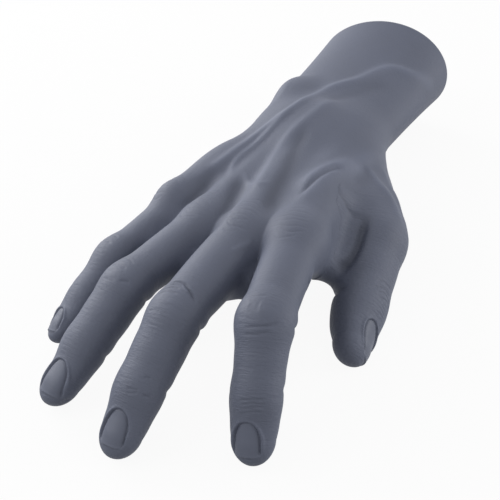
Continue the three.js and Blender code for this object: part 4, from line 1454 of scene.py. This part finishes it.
def closed(places, normals, quads):
    """What closes the open loops of a piece: a ring of walls that goes straight into the flesh from
    each loop, and a lid zipped across its far end. Also gives the loop's point that each new point
    lies under."""
    starts, stops = face_edges(quads)
    count = len(places)
    open_edges = ~np.isin(starts * count + stops, stops * count + starts)
    edges = np.stack([starts[open_edges], stops[open_edges]], axis=1)
    rim = np.unique(edges)
    under = np.zeros(count, int)
    under[rim] = count + np.arange(len(rim))
    walls = np.stack([edges[:, 1], edges[:, 0], under[edges[:, 0]], under[edges[:, 1]]], axis=1)
    sunk = places[rim] - CAP_DEPTH * normals[rim]
    loops = [under[loop[::-1]] for loop in loops_in_order(edges, count)]
    lids = [part for loop in loops for part in zipped(loop, sunk[loop - count])]
    return sunk, walls, lids, edges, rim


def new_piece(name, places, faces, normals, values):
    """A mesh object from millimetre points, groups of faces with the same number of corners,
    shading normals and point attributes."""
    mesh = bpy.data.meshes.new(name)
    corners = np.concatenate([np.ravel(part) for part in faces]).astype(np.int32)
    sizes = np.concatenate([np.full(len(part), part.shape[1]) for part in faces])
    mesh.vertices.add(len(places))
    mesh.vertices.foreach_set("co", (places * MM).astype(np.float32).ravel())
    mesh.loops.add(len(corners))
    mesh.loops.foreach_set("vertex_index", corners)
    mesh.polygons.add(len(sizes))
    mesh.polygons.foreach_set("loop_start", (np.cumsum(sizes) - sizes).astype(np.int32))
    mesh.update(calc_edges=True)
    mesh.polygons.foreach_set("use_smooth", np.ones(len(sizes), bool))
    mesh.normals_split_custom_set_from_vertices(normals)
    for attribute, value in values.items():
        kind, field = ("FLOAT_VECTOR", "vector") if value.ndim == 2 else ("FLOAT", "value")
        mesh.attributes.new(attribute, kind, "POINT").data.foreach_set(field, value.ravel())
    piece = bpy.data.objects.new(name, mesh)
    bpy.context.scene.collection.objects.link(piece)
    return piece


# %% Make the pieces
pieces = {}
piece_points = {}
open_loops = {}
for number, name in enumerate(piece_names):
    faces = skin_quads[skin_piece == number]
    used, index = np.unique(faces, return_inverse=True)
    faces = index.reshape(-1, 4)
    places = skin_points[used]
    sunk, walls, lids, edges, rim = closed(places, skin_normals[used], faces)
    from_point = np.concatenate([np.arange(len(used)), rim])
    values = {key: value[used][from_point] for key, value in attributes.items()}
    normals = skin_normals[used][from_point]
    places = np.concatenate([places, sunk])
    pieces[name] = new_piece(name, places, (faces, walls, *lids), normals, values)
    piece_points[name] = places
    open_loops[name] = (edges, from_point)
    print(name, len(places), "points,", len(lids) // 2, "closed ends")

# %% [markdown]
# ## Skin that bends
#
# A skin over a hinge follows the bone before it on one side and the bone behind it on the other,
# and turns smoothly between them. At a knuckle the web needs more care: next to the neighbouring
# finger it has to stay with the palm, or the web would tear when one finger moves alone. So there
# each point's share of the turn grows with its distance from the seam in the web.

# %% Bend each piece over its hinge
# How far from the web's seam a point takes its whole share of the turn, and how far the turn of a
# knuckle reaches before and after its hinge.
WEB_FADE = {"index": 9.0, "middle": 9.0, "ring": 9.0, "little": 9.0, "thumb": 13.0}
KNUCKLE_REACH = {"index": (9.5, 14), "middle": (9.5, 14), "ring": (9.5, 14), "little": (9.5, 13),
                 "thumb": (9.5, 12)}
SEAM_MATCH = 0.01
TARGETS_AT_ONCE = 64
LINKS = {"knuckle": "lower", "middle": "middle", "tip": "tip"}


def nearest(places, targets):
    """Distance from each place to the nearest target, a few targets at a time."""
    best = np.full(len(places), np.inf)
    for start in range(0, len(targets), TARGETS_AT_ONCE):
        offset = places[:, None] - targets[None, start:start + TARGETS_AT_ONCE]
        best = np.minimum(best, np.sqrt((offset ** 2).sum(2)).min(1))
    return best


def knuckle_shares(name, places, edges, hinge_place, line, next_places):
    """How much of the knuckle's turn each point takes: a smooth step along the digit, faded by the
    distance from the web's seam, and whole again at the seam towards the fingertip. That seam is
    where the points of the next skin are; what remains of the open edges beside and past the hinge
    is the web's."""
    before, after = KNUCKLE_REACH[name]
    along = (places - hinge_place) @ line
    seam_points = places[np.unique(edges)]
    seam_along = (seam_points - hinge_place) @ line
    at_next = nearest(seam_points, next_places) < SEAM_MATCH
    web = ~at_next & (seam_along > -before)
    from_web = nearest(places, seam_points[web])
    from_next = nearest(places, seam_points[at_next])
    fade = from_web / np.minimum(WEB_FADE[name], from_web + from_next)
    return smooth_step((along + before) / (before + after)) * smooth_step(fade)


for name in DIGITS:
    parts = PARTS[name]
    bodies = ["palm"] + [f"{name}_{LINKS[part]}" for part in parts]
    for order, part in enumerate(parts):
        skin = f"{name}_{part}_skin"
        if part == "knuckle" and name != "thumb":
            place, line = BONES[name][0]["place"], -BONES[name][0]["axes"][:, 1]
        else:
            place, line = joint_line(name, order + (name == "thumb"))
        before, after = KNUCKLE_REACH[name] if order == 0 else (REACH[part][name],) * 2
        start, end = place - before * line, place + after * line
        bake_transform(pieces[skin], bodies[order], bodies[order + 1], start=start * MM, end=end * MM)
        if order == 0:
            edges, from_point = open_loops[skin]
            next_points = piece_points[f"{name}_{parts[1]}_skin"]
            share = knuckle_shares(name, piece_points[skin], edges, place, line, next_points)
            layer = pieces[skin].data.attributes["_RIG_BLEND"]
            layer.data.foreach_set("value", share[from_point].astype(np.float32))
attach(pieces["palm_skin"], "palm")
# The nodes of the frame that each kind of skin stands for.
REPLACED = {
    "palm": ("flesh",),
    "knuckle": ("knuckle_sleeve", "lower_flesh"),
    "middle": ("middle_sleeve", "middle_flesh"),
    "tip": ("end_sleeve", "tip_flesh"),
}
covered = set()
for skin, piece in pieces.items():
    name, part = ("palm", "palm") if skin == "palm_skin" else skin.split("_")[:2]
    nodes = [f"{name}_{node}" for node in REPLACED[part]]
    covered.update(nodes)
    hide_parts(*nodes)

# %% [markdown]
# ## Silicone
#
# Tinted silicone is one colour all through. Its skin texture comes from the mould, so it's all in
# the relief: a net of fine lines on the palm and back, and on the digits fine lines that run
# across. One node group makes both and mixes them by an attribute of the mesh that is one on the
# digits.

# %% Skin texture group
SILICONE_COLOR = (0.127, 0.141, 0.192)
SILICONE_ROUGHNESS = 0.6
SILICONE_IOR = 1.42
# The net of fine lines: its scale, how far from a line it stops rising, and its weight.
NET_SCALE = 900.0
NET_LIMIT = 0.2
NET_WEIGHT = 1.2
GRAIN = {"Scale": 700.0, "Detail": 3.0, "Roughness": 0.6}
# The lines across a digit are noise in its own measures, stretched across and round it.
BARS = {"Scale": 1.25, "Detail": 3.0, "Roughness": 0.62}
BARS_STRETCH = (0.16, 1.0, 0.16)
BARS_WEIGHT = 2.2
SKIN_BUMP = {"Strength": 0.7, "Distance": 0.0002}
DRIFT = {"Scale": 45.0, "Detail": 4.0}
# How much the slow drift changes the colour and the roughness, how much painted shade darkens the grooves and
# creases and painted highlight lightens the raised veins and tendons, the darkest the colour may get, and how much
# the nails change the roughness and the texture.
DRIFT_TONE = 0.22
DRIFT_ROUGHNESS = 0.14
RELIEF_SHADE_AND_HIGHLIGHT = 0.16
DARKEST = 0.72
NAIL_ROUGHNESS = -0.12
NAIL_TEXTURE = -0.9


def new_group(name, inputs, outputs):
    """A node group with the named sockets, the sockets of its inputs, and those of its outputs."""
    group = bpy.data.node_groups.new(name, "ShaderNodeTree")
    for sockets, way in ((inputs, "INPUT"), (outputs, "OUTPUT")):
        for socket, kind in sockets.items():
            group.interface.new_socket(socket, in_out=way, socket_type="NodeSocket" + kind)
    source, target = group.nodes.new("NodeGroupInput"), group.nodes.new("NodeGroupOutput")
    return group, source.outputs, target.inputs


def scaled_color(tree, color, bright):
    """A colour times a brightness."""
    node = tree.nodes.new("ShaderNodeVectorMath")
    node.operation = "SCALE"
    node.inputs[0].default_value = color
    tree.links.new(bright, node.inputs["Scale"])
    return node.outputs[0]


def end_in_surface(tree, **inputs):
    """Ends a material in a principled surface with the given inputs."""
    surface = add_node(tree, "ShaderNodeBsdfPrincipled", **inputs)
    add_node(tree, "ShaderNodeOutputMaterial", Surface=surface.outputs["BSDF"])


def skin_texture_group():
    """Height of the moulded skin texture in millimetres."""
    group, given, result = new_group(
        "skin_texture", {"Place": "Vector", "Along Digit": "Vector", "Digit": "Float"},
        {"Height": "Float"})
    net = add_node(group, "ShaderNodeTexVoronoi", Vector=given["Place"], Scale=NET_SCALE)
    net.feature = "DISTANCE_TO_EDGE"
    lines = add_math(group, "MINIMUM", net.outputs["Distance"], NET_LIMIT)
    grain = add_node(group, "ShaderNodeTexNoise", Vector=given["Place"], **GRAIN).outputs["Fac"]
    flat = add_math(group, "MULTIPLY_ADD", lines, NET_WEIGHT, grain)
    stretched = add_node(group, "ShaderNodeMapping", Vector=given["Along Digit"],
                         Scale=BARS_STRETCH)
    bars = add_node(group, "ShaderNodeTexNoise", Vector=stretched.outputs[0], **BARS)
    across = add_math(group, "MULTIPLY_ADD", bars.outputs["Fac"], BARS_WEIGHT, grain)
    mix = add_node(group, "ShaderNodeMix", Factor=given["Digit"], A=flat, B=across)
    group.links.new(mix.outputs["Result"], result["Height"])
    return group


skin_texture = skin_texture_group()


# %% Silicone material
def read_attribute(tree, name, socket="Fac"):
    """A point attribute, as a number or a vector."""
    node = tree.nodes.new("ShaderNodeAttribute")
    node.attribute_name = name
    return node.outputs[socket]


def silicone_material():
    """Matte tinted silicone: relief from the skin texture, smoother nails, and a colour that drifts slowly over
    the surface, with painted shade darkening the grooves and creases and painted highlight lightening the raised
    veins and tendons."""
    material, tree = new_material("silicone")
    place = tree.nodes.new("ShaderNodeTexCoord").outputs["Object"]
    nail = read_attribute(tree, "nail")
    texture = tree.nodes.new("ShaderNodeGroup")
    texture.node_tree = skin_texture
    tree.links.new(place, texture.inputs["Place"])
    tree.links.new(read_attribute(tree, "along_digit", "Vector"), texture.inputs["Along Digit"])
    tree.links.new(read_attribute(tree, "digit"), texture.inputs["Digit"])
    height = add_math(tree, "MULTIPLY", texture.outputs["Height"],
                      add_math(tree, "MULTIPLY_ADD", nail, NAIL_TEXTURE, 1.0))
    relief_bump = add_node(tree, "ShaderNodeBump", Height=height, **SKIN_BUMP)
    drift = add_node(tree, "ShaderNodeTexNoise", Vector=place, **DRIFT).outputs["Fac"]
    # Painted shade and painted highlight: the colour darkens where the relief sinks into grooves and creases, and
    # lightens where it rises over veins and tendons.
    groove = add_math(tree, "MULTIPLY", read_attribute(tree, "relief"), RELIEF_SHADE_AND_HIGHLIGHT)
    tone = add_math(tree, "MULTIPLY_ADD", drift, DRIFT_TONE, -DRIFT_TONE / 2)
    tone = add_math(tree, "ADD", add_math(tree, "ADD", tone, groove), 1.0)
    bright = add_math(tree, "MAXIMUM", tone, DARKEST)
    rough = add_math(tree, "MULTIPLY_ADD", drift, DRIFT_ROUGHNESS,
                     SILICONE_ROUGHNESS - DRIFT_ROUGHNESS / 2)
    rough = add_math(tree, "MULTIPLY_ADD", nail, NAIL_ROUGHNESS, rough)
    end_in_surface(tree, Base_Color=scaled_color(tree, SILICONE_COLOR, bright), Roughness=rough,
                   Normal=relief_bump.outputs["Normal"], IOR=SILICONE_IOR)
    return material


silicone = silicone_material()
for piece in pieces.values():
    piece.data.materials.append(silicone)

# %% [markdown]
# ## Metal and plastic of the armature
#
# The armature is hidden in the silicone, and only the plate in the cut end shows. The links are
# cut from brushed aluminium bar and run along the hand, so their scratches do too. The pins and
# the post are turned steel, with scratches round them, and the plate is a moulded plastic with a
# fine grain. Scratches and grain are both noise that is stretched or not, so one node group makes
# them, and each finish sets its own stretch.

# %% Finish of the armature
# Each finish: its material, colour, metallic share, roughness, the stretch of its marks and their
# depth in metres.
FINISHES = {
    "aluminium": ("brushed_aluminium", (0.6, 0.61, 0.62), 1.0, 0.4, (5000, 120, 5000), 0.00003),
    "steel": ("turned_steel", (0.5, 0.5, 0.52), 1.0, 0.3, (300, 6000, 300), 0.00002),
    "plastic": ("grained_plastic", (0.05, 0.052, 0.058), 0.0, 0.55, (1600, 1600, 1600), 0.00008),
}
MARKS = {"Scale": 1.0, "Detail": 4.0, "Roughness": 0.7}
WEAR = {"Scale": 120.0, "Detail": 3.0}
MARKS_STRENGTH = 0.6
# How much wear and marks change the brightness and the roughness.
WEAR_TONE = 0.3
MARKS_TONE = 0.2
MARKS_ROUGHNESS = 0.22
WEAR_ROUGHNESS = 0.1


def tooling_group():
    """Marks left by a tool or a mould: noise in stretched coordinates, from nought to one, and a
    slower noise for handling marks."""
    group, given, result = new_group("tooling_marks", {"Place": "Vector", "Stretch": "Vector"},
                                     {"Marks": "Float", "Wear": "Float"})
    stretched = group.nodes.new("ShaderNodeVectorMath")
    stretched.operation = "MULTIPLY"
    group.links.new(given["Place"], stretched.inputs[0])
    group.links.new(given["Stretch"], stretched.inputs[1])
    marks = add_node(group, "ShaderNodeTexNoise", Vector=stretched.outputs[0], **MARKS)
    wear = add_node(group, "ShaderNodeTexNoise", Vector=given["Place"], **WEAR)
    group.links.new(marks.outputs["Fac"], result["Marks"])
    group.links.new(wear.outputs["Fac"], result["Wear"])
    return group


tooling = tooling_group()


def tooled_material(name, color, metallic, roughness, stretch, depth):
    """A finish with tooling marks: the marks change roughness and height, and the wear changes the
    colour and the roughness a little."""
    material, tree = new_material(name)
    node = tree.nodes.new("ShaderNodeGroup")
    node.node_tree = tooling
    tree.links.new(tree.nodes.new("ShaderNodeTexCoord").outputs["Object"], node.inputs["Place"])
    node.inputs["Stretch"].default_value = stretch
    marks, wear = node.outputs["Marks"], node.outputs["Wear"]
    bright = add_math(tree, "MULTIPLY_ADD", wear, WEAR_TONE, 1 - (WEAR_TONE + MARKS_TONE) / 2)
    bright = add_math(tree, "MULTIPLY_ADD", marks, MARKS_TONE, bright)
    roughness -= (MARKS_ROUGHNESS + WEAR_ROUGHNESS) / 2
    rough = add_math(tree, "MULTIPLY_ADD", marks, MARKS_ROUGHNESS, roughness)
    rough = add_math(tree, "MULTIPLY_ADD", wear, WEAR_ROUGHNESS, rough)
    relief_bump = add_node(tree, "ShaderNodeBump", Height=marks, Strength=MARKS_STRENGTH,
                           Distance=depth)
    end_in_surface(tree, Base_Color=scaled_color(tree, color, bright), Roughness=rough,
                   Normal=relief_bump.outputs["Normal"], Metallic=metallic)
    return material


finished = {finish: tooled_material(*values) for finish, values in FINISHES.items()}
FINISH_OF = {"link": "aluminium", "plate": "aluminium", "pin": "steel", "post": "steel"}
for node in frame["nodes"]:
    if node in covered:
        continue
    finish = "plastic" if node == "wrist_plate" else FINISH_OF[node.split("_")[-1]]
    for slot in bpy.data.objects[node].material_slots:
        slot.material = finished[finish]
print("armature nodes left showing:", len(set(frame["nodes"]) - covered))

# %% Boxes of the CAD parts and of the visual
size = {"cad": [list(corner) for corner in cad_box],
        "visual": [list(corner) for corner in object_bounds()]}
print("visual box in mm:", [[round(x / MM, 1) for x in corner] for corner in size["visual"]])
